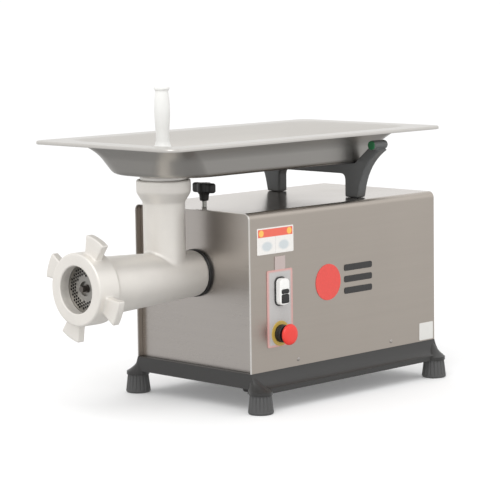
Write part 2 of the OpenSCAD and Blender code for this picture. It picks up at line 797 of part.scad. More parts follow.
module output_bearings() {
    r = output_shaft_r + running_gap;
    color([0.75, 0.75, 0.76]) {
        bearing(box_x, 0, head_z, r, output_bearing_r, front_bearing_t);
        bearing(carrier_x, 0, head_z, r, carrier_bearing_r, carrier_t);
    }
}

module layshaft_bearings() {
    r = layshaft_r + running_gap;
    color([0.75, 0.75, 0.76]) {
        bearing(box_x + 2, lay_y, lay_z, r, layshaft_bearing_r, front_bearing_t - 3);
        bearing(cover_x, lay_y, lay_z, r, layshaft_bearing_r, 10);
    }
}

module motor_bearings() {
    r = motor_shaft_r + running_gap;
    color([0.75, 0.75, 0.76]) {
        bearing(cover_x, 0, head_z, r, motor_bearing_r, cover_t - 2);
        bearing(motor_x + motor_l, 0, head_z, r, motor_bearing_r, shield_t - 2);
    }
}

module motor_frame() {
    color([0.5, 0.5, 0.52]) difference() {
        union() {
            bar_x(motor_x, 0, head_z, motor_r - 6, motor_l);
            for (a = [0:15:345]) translate([0, 0, head_z]) along_x(motor_x + 6, motor_l - 12)
                rotate(a) translate([motor_r - 8, -1.5]) square([6, 3]);
            for (x = [motor_x, motor_x + motor_l - 8]) bar_x(x, 0, head_z, motor_r, 8);
        }
        bar_x(motor_x - 1, 0, head_z, motor_r - 10, motor_l + 2);
    }
}

module motor_stator() {
    color([0.7, 0.45, 0.25]) difference() {
        bar_x(motor_x + 20, 0, head_z, motor_r - 10 - fit_gap, motor_l - 40);
        bar_x(motor_x + 19, 0, head_z, rotor_r + 0.5, motor_l);
    }
}

module motor_end_shield() {
    color([0.6, 0.6, 0.6]) difference() {
        bar_x(motor_x + motor_l, 0, head_z, motor_r, shield_t);
        bar_x(motor_x + motor_l - 1, 0, head_z, motor_bearing_r + fit_gap, shield_t + 2);
    }
}

module fan_cowl() {
    cowl_x = motor_x + motor_l + shield_t;
    color([0.3, 0.3, 0.3]) difference() {
        bar_x(cowl_x, 0, head_z, motor_r, cowl_l);
        bar_x(cowl_x - 1, 0, head_z, motor_r - 2, cowl_l - 1);
        for (r = [20, 32, 44], k = [0:11])
            bar_x(cowl_x + cowl_l - 4, r * cos(30 * k), head_z + r * sin(30 * k), 3.5, 8);
    }
}

capacitor_y = casing_w / 2 - 38;
module run_capacitor() {
    color([0.85, 0.85, 0.85]) bar_x(motor_x + 40, capacitor_y, casing_z + 26, 20, 80);
}

module capacitor_clip() {
    color([0.6, 0.6, 0.6]) difference() {
        translate([motor_x + 70, capacitor_y - 24, casing_z]) cube([18, 48, 26]);
        bar_x(motor_x + 60, capacitor_y, casing_z + 26, 20 + running_gap, 40);
    }
}

module control_plate() {
    color([0.74, 0.74, 0.73]) difference() {
        on_side(front_x + control_x, side_y, film_z, control_plate_t) {
            rounded(film_w, film_h, 3);
            translate([1, film_h / 2 + 7]) square([tab_w, tab_h], center = true);
        }
        on_side(front_x + control_x, side_y + 1, casing_z + switch_z, 3)
            square([body_w + 0.4, body_l + 0.4], center = true);
        translate([front_x + control_x, side_y + 1, casing_z + estop_z])
            rotate([90, 0, 0]) cylinder(r = 11 + fit_gap, h = 3);
    }
}

module instruction_label() {
    color([0.93, 0.92, 0.9])
        on_side(front_x + 55.5, side_y, top_z - 44, 0.6) rounded(78, 40, 1);
}

module rating_label() {
    color([0.85, 0.85, 0.84])
        on_side(back_x - 21, side_y, casing_z + 16, 0.6) rounded(34, 28, 1);
}

module side_emblem() {
    color([0.8, 0.2, 0.17]) on_side(front_x + 171, side_y, top_z - 120, 0.8) circle(r = 28);
    color([0.1, 0.1, 0.1]) for (k = [-1, 0, 1])
        on_side(front_x + 240, side_y, top_z - 120 + k * 18, 0.8) rounded(64, 10, 3);
}

module switch_bezel() {
    color([0.1, 0.1, 0.1]) on_side(front_x + control_x, bezel_y, casing_z + switch_z, bezel_t)
        difference() {
            rounded(bezel_w, bezel_l, 9);
            square([body_w + 0.4, body_l + 0.4], center = true);
        }
}

module switch_housing() {
    color([0.93, 0.93, 0.92]) difference() {
        union() {
            on_side(front_x + control_x, bezel_y - bezel_t, casing_z + switch_z,
                    bezel_y - bezel_t - switch_top_y) rounded(housing_w, housing_l, 7);
            on_side(front_x + control_x, side_y + 26, casing_z + switch_z, side_y + 26 - bezel_y + bezel_t)
                square([body_w, body_l], center = true);
        }
        for (s = [0, 1]) {
            on_side(front_x + control_x, well_y, button_z(s), 20) rounded(button_w, button_h[s], 2.5);
            on_side(front_x + control_x, side_y + 12, button_z(s), 30)
                square(stalk_w + 2 * seat_gap, center = true);
        }
    }
}

// a push button of the switch: s is 0 for the lower one and 1 for the upper one
module push_button(s) {
    back_y = well_y - button_travel - seat_gap;
    on_side(front_x + control_x, back_y, button_z(s), back_y - switch_top_y + button_proud)
        rounded(button_w - 2 * seat_gap, button_h[s] - 2 * seat_gap, 2.5 - seat_gap);
    on_side(front_x + control_x, side_y + 11.6 - button_travel, button_z(s), side_y + 12 - back_y)
        square(stalk_w, center = true);
}

module start_button() {
    color([0.9, 0.9, 0.89]) push_button(1);
}

module stop_button() {
    color([0.1, 0.1, 0.1]) push_button(0);
}

module estop_disc() {
    color([0.88, 0.75, 0.2]) translate([front_x + control_x, side_y - control_plate_t,
                                        casing_z + estop_z]) rotate([90, 0, 0]) difference() {
        cylinder(r = estop_r + 3, h = 1);
        translate([0, 0, -1]) cylinder(r = 11 + fit_gap, h = 3);
    }
}

module estop_body() {
    color([0.1, 0.1, 0.1]) translate([front_x + control_x, side_y - control_plate_t - 1,
                                      casing_z + estop_z]) rotate([90, 0, 0]) difference() {
        union() {
            cylinder(r = 13.5, h = estop_collar_l);
            translate([0, 0, -8]) cylinder(r = 11, h = 9);
            translate([-14, -14, -38]) cube([28, 28, 31]);
        }
        translate([0, 0, -30]) cylinder(r = 6 + seat_gap, h = 60);
    }
}

module estop_button() {
    color([0.85, 0.16, 0.14]) translate([front_x + control_x,
            side_y - control_plate_t - 1 - estop_collar_l - estop_travel - 1,
            casing_z + estop_z]) rotate([90, 0, 0]) {
        cylinder(r1 = estop_r - 2, r2 = estop_r, h = 3);
        translate([0, 0, 3]) cylinder(r1 = estop_r, r2 = estop_r - 2, h = 2.5);
        translate([0, 0, 5.5]) cylinder(r1 = estop_r - 2, r2 = estop_r - 7, h = estop_head_l - 5.5);
        translate([0, 0, -24]) cylinder(r = 6, h = 25);
    }
}

module clamp_knob() {
    color([0.09, 0.09, 0.09]) translate([front_x + knob_x, 0, 0]) difference() {
        union() {
            translate([0, 0, top_z + 4]) cylinder(r1 = 6.5, r2 = 7.5, h = knob_z - top_z - 3);
            translate([0, 0, knob_z]) linear_extrude(15) {
                circle(r = 11);
                for (s = [-1, 1]) translate([0, s * 16]) circle(r = 6.5);
                square([13, 32], center = true);
            }
        }
        translate([0, 0, top_z]) cylinder(r = knob_screw_r + fit_gap, h = 28);
    }
}

module clamp_screw() {
    color("silver") translate([front_x + knob_x, 0, clamp_hole_z + seat_gap])
        cylinder(r = knob_screw_r, h = top_z + 27 - clamp_hole_z);
}

// one side of the yoke in (Y, Z): a leg, half the beam and the arm that sweeps outwards
module yoke_side() {
    under = tray_floor_z - tray_sheet - seat_gap;
    beam_z = under - beam_t;
    arm_in = [boss_y - boss_r, boss_z];
    arm_out = [boss_y + boss_r + 4, boss_z - boss_r];
    polygon(concat([[0, under], [0, beam_z]],
        bend([leg_in - 10, beam_z], [leg_in, beam_z], [leg_in, beam_z - 10], 6),
        [[leg_in, top_z + seat_gap], [leg_out, top_z + seat_gap]],
        bend([leg_out + 2, top_z + 10], [leg_out + 10, boss_z - 30], arm_out, 10),
        [arm_in, [arm_foot_y, under]]));
    translate([boss_y, boss_z]) circle(r = boss_r);
}

module tray_yoke() {
    color([0.27, 0.28, 0.28]) difference() {
        union() {
            for (m = [0, 1]) mirror([0, m, 0]) {
                along_x(front_x + yoke_x - yoke_t / 2, yoke_t) yoke_side();
                bar_x(front_x + yoke_x - boss_l / 2, boss_y, boss_z, boss_r, boss_l);
            }
        }
        for (s = [-1, 1]) {
            translate([front_x + yoke_x, s * (leg_in + leg_w / 2), top_z - 6])
                cylinder(r = yoke_screw_r + fit_gap, h = 20);
            bar_x(front_x + yoke_x - boss_l / 2 - 1, s * boss_y, boss_z, boss_r - 2.5, 7);
        }
    }
}

module yoke_caps() {
    color([0.08, 0.4, 0.2]) for (s = [-1, 1]) {
        bar_x(front_x + yoke_x - boss_l / 2 - 1.5, s * boss_y, boss_z, boss_r - 0.5, 1.5);
        bar_x(front_x + yoke_x - boss_l / 2, s * boss_y, boss_z, boss_r - 2.5 - fit_gap, 5);
    }
    color("silver") for (s = [-1, 1]) {
        translate([front_x + yoke_x, s * (leg_in + leg_w / 2), top_z - 7]) {
            cylinder(r = yoke_screw_r, h = 18);
            translate([0, 0, 1]) cylinder(r = yoke_screw_r + 3, h = 4);
        }
    }
}

// a thin slab of the tray's opening at height z, narrowed by dx and dy and grown by g
module tray_slab(z, dx, dy, g) {
    l = tray_l - 2 * (flange_w + dx) + 2 * g;
    w = tray_w - 2 * (flange_w + dy) + 2 * g;
    translate([tray_mid_x - l / 2, -w / 2, z]) cube([l, w, 0.01]);
}

// the pan's inside, grown by g, from its floor up to the flange
module pan_space(g) {
    hull() {
        tray_slab(tray_z - 0.01 + (g > 0 ? 0 : 1), 0, 0, g);
        tray_slab(tray_floor_z - (g > 0 ? tray_sheet : 0), end_slope, side_slope, g);
    }
}

module feed_tray() {
    color([0.7, 0.69, 0.67]) difference() {
        union() {
            difference() {
                translate([tray_x, -tray_w / 2, tray_z - lip_h]) cube([tray_l, tray_w, lip_h]);
                translate([tray_x + tray_sheet, -tray_w / 2 + tray_sheet, tray_z - lip_h - 1])
                    cube([tray_l - 2 * tray_sheet, tray_w - 2 * tray_sheet,
                          lip_h + 1 - tray_sheet]);
            }
            pan_space(tray_sheet);
            translate([neck_x, 0, tray_floor_z - tray_sheet - spout_l - 6])
                cylinder(r = spout_r, h = spout_l + 7);
        }
        pan_space(0);
        translate([neck_x, 0, tray_floor_z - 40]) cylinder(r = spout_r - tray_sheet, h = 60);
    }
}

module meat_pusher() {
    grip_top = tray_z + pusher_rise;
    floor_z = tray_floor_z + seat_gap;
    color([0.95, 0.95, 0.94]) translate([neck_x, 0, 0]) rotate_extrude() polygon(concat(
        [[0, plunger_z], [plunger_r - 2, plunger_z], [plunger_r, plunger_z + 2],
         [plunger_r, floor_z], [spout_r + 3, floor_z], [spout_r + 3, floor_z + 3]],
        bend([plunger_r, floor_z + 8], [grip_r + 1, floor_z + 18], [grip_r + 3, tray_z - 12], 8),
        bend([grip_r + 2, tray_z - 11], [grip_r - 1, tray_z - 8], [grip_r - 2, tray_z - 4], 5),
        bend([grip_r - 2, tray_z + 14], [grip_r + 2.5, tray_z + 46], [grip_r - 2, grip_top - 7], 10),
        [[grip_r - 1, grip_top - 5], [grip_r, grip_top - 4], [grip_r, grip_top - 1.5],
         [grip_r - 1.5, grip_top], [0, grip_top]]));
}

base_skirt();
foot(0, -1);  // foot_front_near
foot(0, 1);  // foot_front_far
foot(1, -1);  // foot_back_near
foot(1, 1);  // foot_back_far
foot_screws();
casing_wrap();
front_panel();
rear_panel();
casing_rivets();
panel_screws();
cable_gland();
head_casting();
head_collar();
screw_bush();
hole_plate();
plate_pin();
ring_nut();
feed_screw();
cutting_knife();
output_shaft();
output_gear();
layshaft();
layshaft_gear();
layshaft_pinion();
motor_shaft();
motor_pinion();
motor_rotor();
motor_fan();
gearbox_housing();
gearbox_cover();
gearbox_screws();
gearbox_bracket();
bearing_carrier();
output_bearings();
layshaft_bearings();
motor_bearings();
motor_frame();
motor_stator();
motor_end_shield();
fan_cowl();
run_capacitor();
capacitor_clip();
control_plate();
instruction_label();
rating_label();
side_emblem();
switch_bezel();
switch_housing();
start_button();
stop_button();
estop_disc();
estop_body();
estop_button();
clamp_knob();
clamp_screw();
tray_yoke();
yoke_caps();
feed_tray();
meat_pusher();
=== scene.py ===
"""Countertop electric meat grinder: the looks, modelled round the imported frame.

Everything is in metres in the frame's own axes: +X runs back from the grinding head, the
controls face -Y, +Z is up, and the feet stand on z = 0.
"""

import math

import bmesh
import bpy
from mathutils import Matrix, Vector


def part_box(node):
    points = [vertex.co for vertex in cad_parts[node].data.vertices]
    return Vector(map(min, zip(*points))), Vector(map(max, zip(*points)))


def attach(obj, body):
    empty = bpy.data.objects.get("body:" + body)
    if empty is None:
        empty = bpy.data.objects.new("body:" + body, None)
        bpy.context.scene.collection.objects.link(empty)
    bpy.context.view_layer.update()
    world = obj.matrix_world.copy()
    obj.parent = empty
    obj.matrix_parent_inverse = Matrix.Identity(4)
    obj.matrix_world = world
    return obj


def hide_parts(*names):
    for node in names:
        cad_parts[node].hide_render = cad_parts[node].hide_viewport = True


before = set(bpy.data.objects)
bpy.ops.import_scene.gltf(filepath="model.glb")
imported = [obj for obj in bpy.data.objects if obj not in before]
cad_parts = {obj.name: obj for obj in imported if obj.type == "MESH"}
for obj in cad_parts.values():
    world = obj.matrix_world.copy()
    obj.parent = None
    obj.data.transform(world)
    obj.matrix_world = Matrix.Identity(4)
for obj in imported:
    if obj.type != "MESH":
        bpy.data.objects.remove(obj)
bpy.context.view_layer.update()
MM = 0.001

# ---- The view -----------------------------------------------------------------------------
# A long lens, a little above the worktop, looks at the corner between the grinding head
# and the controls. The machine stands on a plain pale floor under soft studio light.

camera = bpy.data.objects.new("camera", bpy.data.cameras.new("camera"))
bpy.context.scene.collection.objects.link(camera)
bpy.context.scene.camera = camera
camera.data.lens = 156.6
camera.data.clip_end = 400
azimuth, elevation, roll = (math.radians(a) for a in (-45.15, 7.1, -0.83))
towards_camera = Vector((math.sin(azimuth) * math.cos(elevation),
                         -math.cos(azimuth) * math.cos(elevation), math.sin(elevation)))
camera.rotation_mode = "QUATERNION"
camera.location = (-2.361, -2.377, 0.644)
camera.rotation_quaternion = (towards_camera.to_track_quat("Z", "Y")
                              @ Matrix.Rotation(roll, 3, "Z").to_quaternion())


class Sock:
    """A shader socket. Arithmetic on it adds Math nodes to its finish."""

    def __init__(self, finish, out):
        self.finish, self.out = finish, out

    def math(self, operation, *others):
        return self.finish.node("Math", [self, *others], operation=operation)

    def __add__(self, other):
        return self.math("ADD", other)

    def __sub__(self, other):
        return self.math("SUBTRACT", other)

    def __mul__(self, other):
        return self.math("MULTIPLY", other)

    def __rsub__(self, other):
        return self.finish.node("Math", [other, self], operation="SUBTRACT")


class Finish:
    """A material of nodes round one Principled shader, patterned in object coordinates."""

    def __init__(self, name, **fixed):
        self.material = bpy.data.materials.new(name)
        self.material.use_nodes = True
        self.tree = self.material.node_tree
        self.shader = self.tree.nodes["Principled BSDF"]
        for key, value in fixed.items():
            self.shader.inputs[key.replace("_", " ")].default_value = value
        self.place = self.node("TexCoord", out="Object")

    def node(self, kind, inputs=(), out=0, **settings):
        new = self.tree.nodes.new("ShaderNode" + kind)
        for key, value in settings.items():
            setattr(new, key, value)
        pairs = inputs.items() if isinstance(inputs, dict) else enumerate(inputs)
        for key, value in pairs:
            if isinstance(value, Sock):
                self.tree.links.new(value.out, new.inputs[key])
            else:
                new.inputs[key].default_value = value
        return Sock(self, new.outputs[out])

    def noise(self, scale, detail=2.0, stretch=(1, 1, 1)):
        spot = self.node("Mapping", {"Vector": self.place, "Scale": stretch})
        return self.node("TexNoise", {"Vector": spot, "Scale": scale, "Detail": detail})

    def mix(self, factor, first, second):
        def colour(c):
            return c if isinstance(c, Sock) else (*c, 1)
        return self.node("Mix", {0: factor, 6: colour(first), 7: colour(second)}, out=2,
                         data_type="RGBA", clamp_factor=True)

    def feed(self, key, value):
        self.tree.links.new(value.out, self.shader.inputs[key])
        return self

    def bump(self, height, strength, distance):
        return self.feed("Normal", self.node("Bump", {"Height": height, "Strength": strength,
                                                      "Distance": distance}))


def shade(name, colour, variety=0.08, scale=25, grain=600, depth=0.05, rough=0.5,
          spread=0.12, **fixed):
    """A moulded, cast or painted finish: a cloudy colour, a fine grain and uneven gloss."""
    finish = Finish(name, **fixed)
    cloud = finish.noise(scale, 4.0)
    fine = finish.noise(grain, 2.0)
    dark = [c * (1 - variety) for c in colour]
    light = [min(1, c * (1 + variety)) for c in colour]
    finish.feed("Base Color", finish.mix(cloud * 0.7 + fine * 0.3, dark, light))
    finish.feed("Roughness", (cloud * 0.6 + fine * 0.4) * spread + (rough - spread / 2))
    return finish.bump(fine, depth, 0.0004)


def area_light(name, place, aim, size, power):
    light = bpy.data.lights.new(name, "AREA")
    light.shape, light.size, light.energy = "DISK", size, power
    lamp = bpy.data.objects.new(name, light)
    bpy.context.scene.collection.objects.link(lamp)
    lamp.location = place
    lamp.rotation_mode = "QUATERNION"
    lamp.rotation_quaternion = (Vector(place) - Vector(aim)).to_track_quat("Z", "Y")


world = bpy.data.worlds.new("studio")
bpy.context.scene.world = world
world.use_nodes = True
sky = world.node_tree
sky.nodes["Background"].inputs["Color"].default_value = (1, 1, 1, 1)
direction = sky.nodes.new("ShaderNodeTexCoord")
height = sky.nodes.new("ShaderNodeSeparateXYZ")
sky.links.new(direction.outputs["Generated"], height.inputs[0])
glow = sky.nodes.new("ShaderNodeMapRange")
for key, value in (("From Min", -0.6), ("From Max", 0.0), ("To Min", 0.3), ("To Max", 1.05)):
    glow.inputs[key].default_value = value
sky.links.new(height.outputs["Z"], glow.inputs["Value"])
sky.links.new(glow.outputs["Result"], sky.nodes["Background"].inputs["Strength"])
area_light("key_light", (-2.0, -1.2, 2.6), (0, 0, 0.2), 2.2, 34)
area_light("side_light", (1.6, -2.4, 2.0), (0.1, 0, 0.2), 1.8, 4)
bpy.context.scene.view_settings.view_transform = "Standard"

floor_sheet = bmesh.new()
bmesh.ops.create_grid(floor_sheet, x_segments=1, y_segments=1, size=150)
floor_mesh = bpy.data.meshes.new("floor")
floor_sheet.to_mesh(floor_mesh)
floor = bpy.data.objects.new("floor", floor_mesh)
bpy.context.scene.collection.objects.link(floor)
floor.data.materials.append(shade("floor_paint", (0.80, 0.80, 0.80), 0.01, rough=0.9, **{
    "Emission_Color": (1, 1, 1, 1), "Emission_Strength": 0.18}).material)
floor.visible_glossy = False

# ---- Base skirt ---------------------------------------------------------------------------
# The skirt is one dark grey casting. Its long sides sweep out to an upright lip and its ends
# are flat. Over each foot a round socket is drawn up into a ridge under the casing's corner.

case_low, case_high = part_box("casing_wrap")
front_x, back_x = case_low.x, case_high.x
side_y = case_high.y
case_z, top_z = case_low.z, case_high.z
foot_low, foot_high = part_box("foot_front_near")
foot_z = foot_high.z
feet = {name: sum(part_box(name), Vector()) / 2 for name in
        ("foot_front_near", "foot_front_far", "foot_back_near", "foot_back_far")}
flare = 18 * MM
lip_h = 7.5 * MM
skirt_wall = 4 * MM
end_rise = 7 * MM
socket_r = 18 * MM


def bend(start, pull, end, steps):
    """Points of a smooth bend from start to end, drawn towards pull."""
    start, pull, end = Vector(start), Vector(pull), Vector(end)
    return [start.lerp(pull, i / steps).lerp(pull.lerp(end, i / steps), i / steps)
            for i in range(steps + 1)]


def plate(points, run):
    """A bmesh of the flat outline through points, drawn out along run into a solid."""
    bm = bmesh.new()
    face = bm.faces.new([bm.verts.new(p) for p in points])
    drawn = bmesh.ops.extrude_face_region(bm, geom=[face])
    bmesh.ops.translate(bm, vec=run,
                        verts=[v for v in drawn["geom"] if isinstance(v, bmesh.types.BMVert)])
    bmesh.ops.recalc_face_normals(bm, faces=bm.faces)
    return bm


def turned(profile, centre, axis, steps=96):
    """A bmesh turned about axis through centre, from (radius, height) points."""
    centre, axis = Vector(centre), Vector(axis)
    across = axis.orthogonal().normalized()
    bm = bmesh.new()
    verts = [bm.verts.new(centre + across * r + axis * h) for r, h in profile]
    edges = [bm.edges.new(pair) for pair in zip(verts, verts[1:] + verts[:1])]
    bmesh.ops.spin(bm, geom=verts + edges, cent=centre, axis=axis, angle=math.tau, steps=steps,
                   use_merge=True)
    bmesh.ops.remove_doubles(bm, verts=bm.verts, dist=2e-6)
    bmesh.ops.recalc_face_normals(bm, faces=bm.faces)
    return bm


def in_mm(*points):
    """Points given in millimetres, in metres."""
    return [(a * MM, b * MM) for a, b in points]


def rod(radius, length, start, axis, steps=48):
    """A plain round bar, mostly used to cut holes."""
    return turned([(0, 0), (radius, 0), (radius, length), (0, length)], start, axis, steps)


def cuboid(centre, size):
    """A plain block round centre."""
    bm = bmesh.new()
    bmesh.ops.create_cube(bm, size=1, matrix=Matrix.LocRotScale(centre, None, size))
    return bm


def loft(loops, capped=True):
    """A bmesh skinned over loops of points, each loop with the same count and winding."""
    bm = bmesh.new()
    rows = [[bm.verts.new(p) for p in loop] for loop in loops]
    for low, high in zip(rows, rows[1:]):
        for a, b, c, d in zip(low, low[1:] + low[:1], high[1:] + high[:1], high):
            bm.faces.new((a, b, c, d))
    if capped:
        bm.faces.new(reversed(rows[0]))
        bm.faces.new(rows[-1])
    bm.normal_update()
    return bm


def soften(bm, width, segments=2, sharper_than=28, where=lambda edge: True):
    """Rounds the edges that turn more than sharper_than degrees."""
    edges = [e for e in bm.edges if len(e.link_faces) == 2
             and e.calc_face_angle(0) > math.radians(sharper_than) and where(e)]
    bmesh.ops.bevel(bm, geom=edges, offset=width, offset_type="OFFSET", segments=segments,
                    profile=0.5, affect="EDGES", material=-1, clamp_overlap=True)
    return bm


def joined(*parts):
    """One bmesh that holds all the parts."""
    whole = bmesh.new()
    for part in parts:
        copy = bpy.data.meshes.new("copy")
        part.to_mesh(copy)
        whole.from_mesh(copy)
        bpy.data.meshes.remove(copy)
        part.free()
    return whole


def thing(name, bm):
    """An object of bm, in the scene."""
    mesh = bpy.data.meshes.new(name)
    bm.to_mesh(mesh)
    bm.free()
    obj = bpy.data.objects.new(name, mesh)
    bpy.context.scene.collection.objects.link(obj)
    return obj


def applied(obj):
    """obj with its modifiers worked into its mesh."""
    graph = bpy.context.evaluated_depsgraph_get()
    mesh = bpy.data.meshes.new_from_object(obj.evaluated_get(graph), depsgraph=graph)
    obj.modifiers.clear()
    obj.data = mesh
    return obj


def combine(obj, bm, operation):
    """obj with the shape bm cut out of it (DIFFERENCE) or built on to it (UNION)."""
    tool = thing("tool", bm)
    boolean = obj.modifiers.new("combine", "BOOLEAN")
    boolean.object, boolean.operation, boolean.solver = tool, operation, "EXACT"
    applied(obj)
    bpy.data.objects.remove(tool)
    return obj


def finish_piece(obj, finish, body, slot, *nodes, smooth=32):
    """Shades obj, gives it its finish and puts it on its body in place of the CAD nodes."""
    obj.data.materials.clear()
    obj.data.materials.append(finish.material)
    obj.data.shade_smooth()
    obj.data.set_sharp_from_angle(angle=math.radians(smooth))
    obj.modifiers.new("normals", "WEIGHTED_NORMAL").keep_sharp = True
    applied(obj)
    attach(obj, body)
    if nodes:
        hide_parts(*nodes)
    return obj


def rounded_edges(obj, width, segments=2, angle=30):
    """obj with a Bevel modifier along its sharp edges, worked in."""
    bevel = obj.modifiers.new("edges", "BEVEL")
    bevel.width, bevel.segments, bevel.limit_method = width, segments, "ANGLE"
    bevel.angle_limit = math.radians(angle)
    return applied(obj)


def skirt_section(inset):
    """The skirt's section in (Y, Z), set in by inset all round."""
    lip_top = foot_z + lip_h
    side = bend((side_y - inset, case_z - inset), (side_y - inset + flare * 0.3, lip_top + 3 * MM),
                (side_y + flare - inset, lip_top), 12)
    side.append(Vector((side_y + flare - inset, foot_z - (0.001 if inset else 0))))
    return side + [Vector((-p.x, p.y)) for p in reversed(side)]


def skirt_prism(inset, x0, x1):
    return plate([(x0, *p) for p in skirt_section(inset)], (x1 - x0, 0, 0))


skirt = thing("base_skirt_casting", skirt_prism(0, front_x, back_x))
combine(skirt, skirt_prism(skirt_wall, front_x + skirt_wall, back_x - skirt_wall), "DIFFERENCE")
gap = feet["foot_front_far"].y - socket_r
for end_x in (front_x, back_x):
    notch = cuboid((end_x, 0, foot_z), (4 * skirt_wall, 2 * gap, 2 * end_rise))
    combine(skirt, notch, "DIFFERENCE")


def socket(foot):
    """The round socket over a foot, drawn up into a ridge under the casing's corner."""
    corner = Vector((front_x + 5 * MM if foot.x < 0 else back_x - 5 * MM,
                     math.copysign(side_y - 5 * MM, foot.y)))
    rings = [(0, 1, 0), (5 * MM, 1, 0)]
    rings += [(5 * MM + (case_z - foot_z - 6 * MM) * t, (1 - t) ** 1.8 * 0.78 + 0.22, t ** 0.8)
              for t in (k / 10 for k in range(1, 11))]
    loops = []
    for rise, size, lean in rings:
        centre = Vector((foot.x, foot.y)).lerp(corner, lean)
        turns = (math.tau * k / 48 for k in range(48))
        loops.append([(centre.x + socket_r * size * math.cos(a),
                       centre.y + socket_r * size * math.sin(a), foot_z + rise) for a in turns])
    return loft(loops)


for foot in feet.values():
    combine(skirt, socket(foot), "UNION")
rounded_edges(skirt, 1.0 * MM, 2)
skirt_paint = shade("skirt_paint", (0.028, 0.027, 0.026), 0.12, 18, 900, 0.25, 0.36, 0.14)
finish_piece(skirt, skirt_paint, "root", "skirt_paint", "base_skirt")

# ---- Feet ---------------------------------------------------------------------------------
# Four conical rubber feet, moulded with upright flutes and a rounded foot ring. Each is
# held up into its socket by a screw that sits in a recess underneath.

foot_rubber = shade("foot_rubber", (0.075, 0.075, 0.075), 0.12, 60, 1400, 0.35, 0.58, 0.12)
foot_r = (foot_high.x - foot_low.x) / 2
flutes = 18


def fluted_foot(foot):
    side = [(0, 12), (8, 12), (8, 0.6), (9, 0), (16.8, 0), (18.6, 0.8), (19.4, 2.4), (19.4, 4),
            (19.1, 6), (16.6, 27), (16.1, 28.4), (15.5, 29), (0, 29)]
    bm = turned(in_mm(*side), (foot.x, foot.y, 0), (0, 0, 1), flutes * 8)
    for vert in bm.verts:
        out = Vector((vert.co.x - foot.x, vert.co.y - foot.y))
        rise = min(1, max(0, (vert.co.z - 0.004) / 0.003)) * min(1, max(0, (0.0285 - vert.co.z) / 0.001))
        if out.length > 14 * MM and rise > 0:
            wave = math.cos(flutes * math.atan2(out.y, out.x))
            out *= 1 - 0.085 * rise * max(0, wave) ** 2
            vert.co.x, vert.co.y = foot.x + out.x, foot.y + out.y
    return bm


for name, foot in feet.items():
    finish_piece(thing(name + "_rubber", fluted_foot(foot)), foot_rubber, "root", "foot_rubber", name)

zinc = shade("zinc_plate", (0.62, 0.62, 0.6), 0.05, 80, 2000, 0.06, 0.28, 0.1, Metallic=1.0)


def dress(finish, *nodes):
    """Gives CAD nodes that keep their own shape a finish."""
    for node in nodes:
        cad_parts[node].data.materials.clear()
        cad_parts[node].data.materials.append(finish.material)


dress(zinc, "foot_screws", "panel_screws", "gearbox_screws", "plate_pin")

# ---- Casing -------------------------------------------------------------------------------
# One brushed stainless sheet is folded down over the top and both sides. The front and
# back panels are set in from its edges. Small rivets pin it to the skirt's rim.


def band(coord, low, high, blur=0.25 * MM):
    """1 where coord lies between low and high, 0 outside."""
    rise = coord.finish.node("Math", [(coord - low) * (1 / blur), 0.5], operation="ADD", use_clamp=True)
    fall = coord.finish.node("Math", [(coord - high) * (-1 / blur), 0.5], operation="ADD", use_clamp=True)
    return rise * fall


def brushed(name, colour, along, rough, depth=0.12, variety=0.08):
    """Brushed stainless sheet, its fine scratches along one axis, with faint smears."""
    finish = Finish(name, Metallic=1.0)
    stretch = [1, 1, 1]
    stretch["XYZ".index(along)] = 0.012
    lines = finish.noise(2600, 2.0, stretch)
    broad = finish.noise(160, 2.0, stretch)
    smear = finish.noise(7, 4.0)
    dark = [c * (1 - variety) for c in colour]
    light = [min(1, c * (1 + variety)) for c in colour]
    finish.metal = finish.mix(lines * 0.35 + broad * 0.35 + smear * 0.3, dark, light)
    finish.feed("Base Color", finish.metal)
    finish.feed("Roughness", lines * 0.10 + smear * 0.10 + broad * 0.04 + (rough - 0.12))
    return finish.bump(lines * 0.7 + broad * 0.3, depth, 0.0002)


sheet_t = 1.5 * MM
bend_r = 10 * MM
case_steel = brushed("case_steel", (0.46, 0.415, 0.37), "X", 0.42)
along, height = (case_steel.node("SeparateXYZ", [case_steel.place], out=axis) for axis in (0, 2))
# Painted highlight: the sheet's first 2 mm behind its front edge are coloured a much lighter steel,
# standing in for the light caught along that edge.
painted_edge_highlight = band(along, front_x - 5 * MM, front_x + 2 * MM, MM)
case_steel.feed("Base Color", case_steel.mix(painted_edge_highlight, case_steel.metal, (0.75, 0.73, 0.70)))
on_top = band(height, top_z - 2 * MM, top_z + 9 * MM, 3 * MM)
case_steel.feed("Roughness", case_steel.noise(9, 4.0) * 0.1 + 0.37 - on_top * 0.2)
wrap = cuboid((case_low + case_high) / 2, case_high - case_low)
soften(wrap, bend_r, 10, where=lambda e: all(v.co.z > top_z - MM for v in e.verts)
       and abs(e.verts[0].co.x - e.verts[1].co.x) > 0.1)
bmesh.ops.delete(wrap, context="FACES", geom=[
    f for f in wrap.faces if abs(f.normal.x) > 0.9 or f.normal.z < -0.9])
bmesh.ops.recalc_face_normals(wrap, faces=wrap.faces)
if max(wrap.faces, key=lambda f: f.calc_center_median().z).normal.z < 0:
    bmesh.ops.reverse_faces(wrap, faces=wrap.faces)
bmesh.ops.solidify(wrap, geom=wrap.faces[:], thickness=sheet_t)
soften(wrap, 0.35 * MM, 2, 60)
wrap = thing("casing_sheet", wrap)
bezel_low, bezel_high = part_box("switch_bezel")
switch_mid = (bezel_low + bezel_high) / 2
estop_mid = sum(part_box("estop_disc"), Vector()) / 2
knob_mid = sum(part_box("clamp_screw"), Vector()) / 2
switch_hole = (15.9 * MM, 9 * MM, 34.4 * MM)
estop_hole_r, knob_hole_r = 11.2 * MM, 4.6 * MM
combine(wrap, cuboid((switch_mid.x, -side_y, switch_mid.z), switch_hole), "DIFFERENCE")
combine(wrap, rod(estop_hole_r, 0.01, (estop_mid.x, -side_y - 0.004, estop_mid.z), (0, 1, 0)),
        "DIFFERENCE")
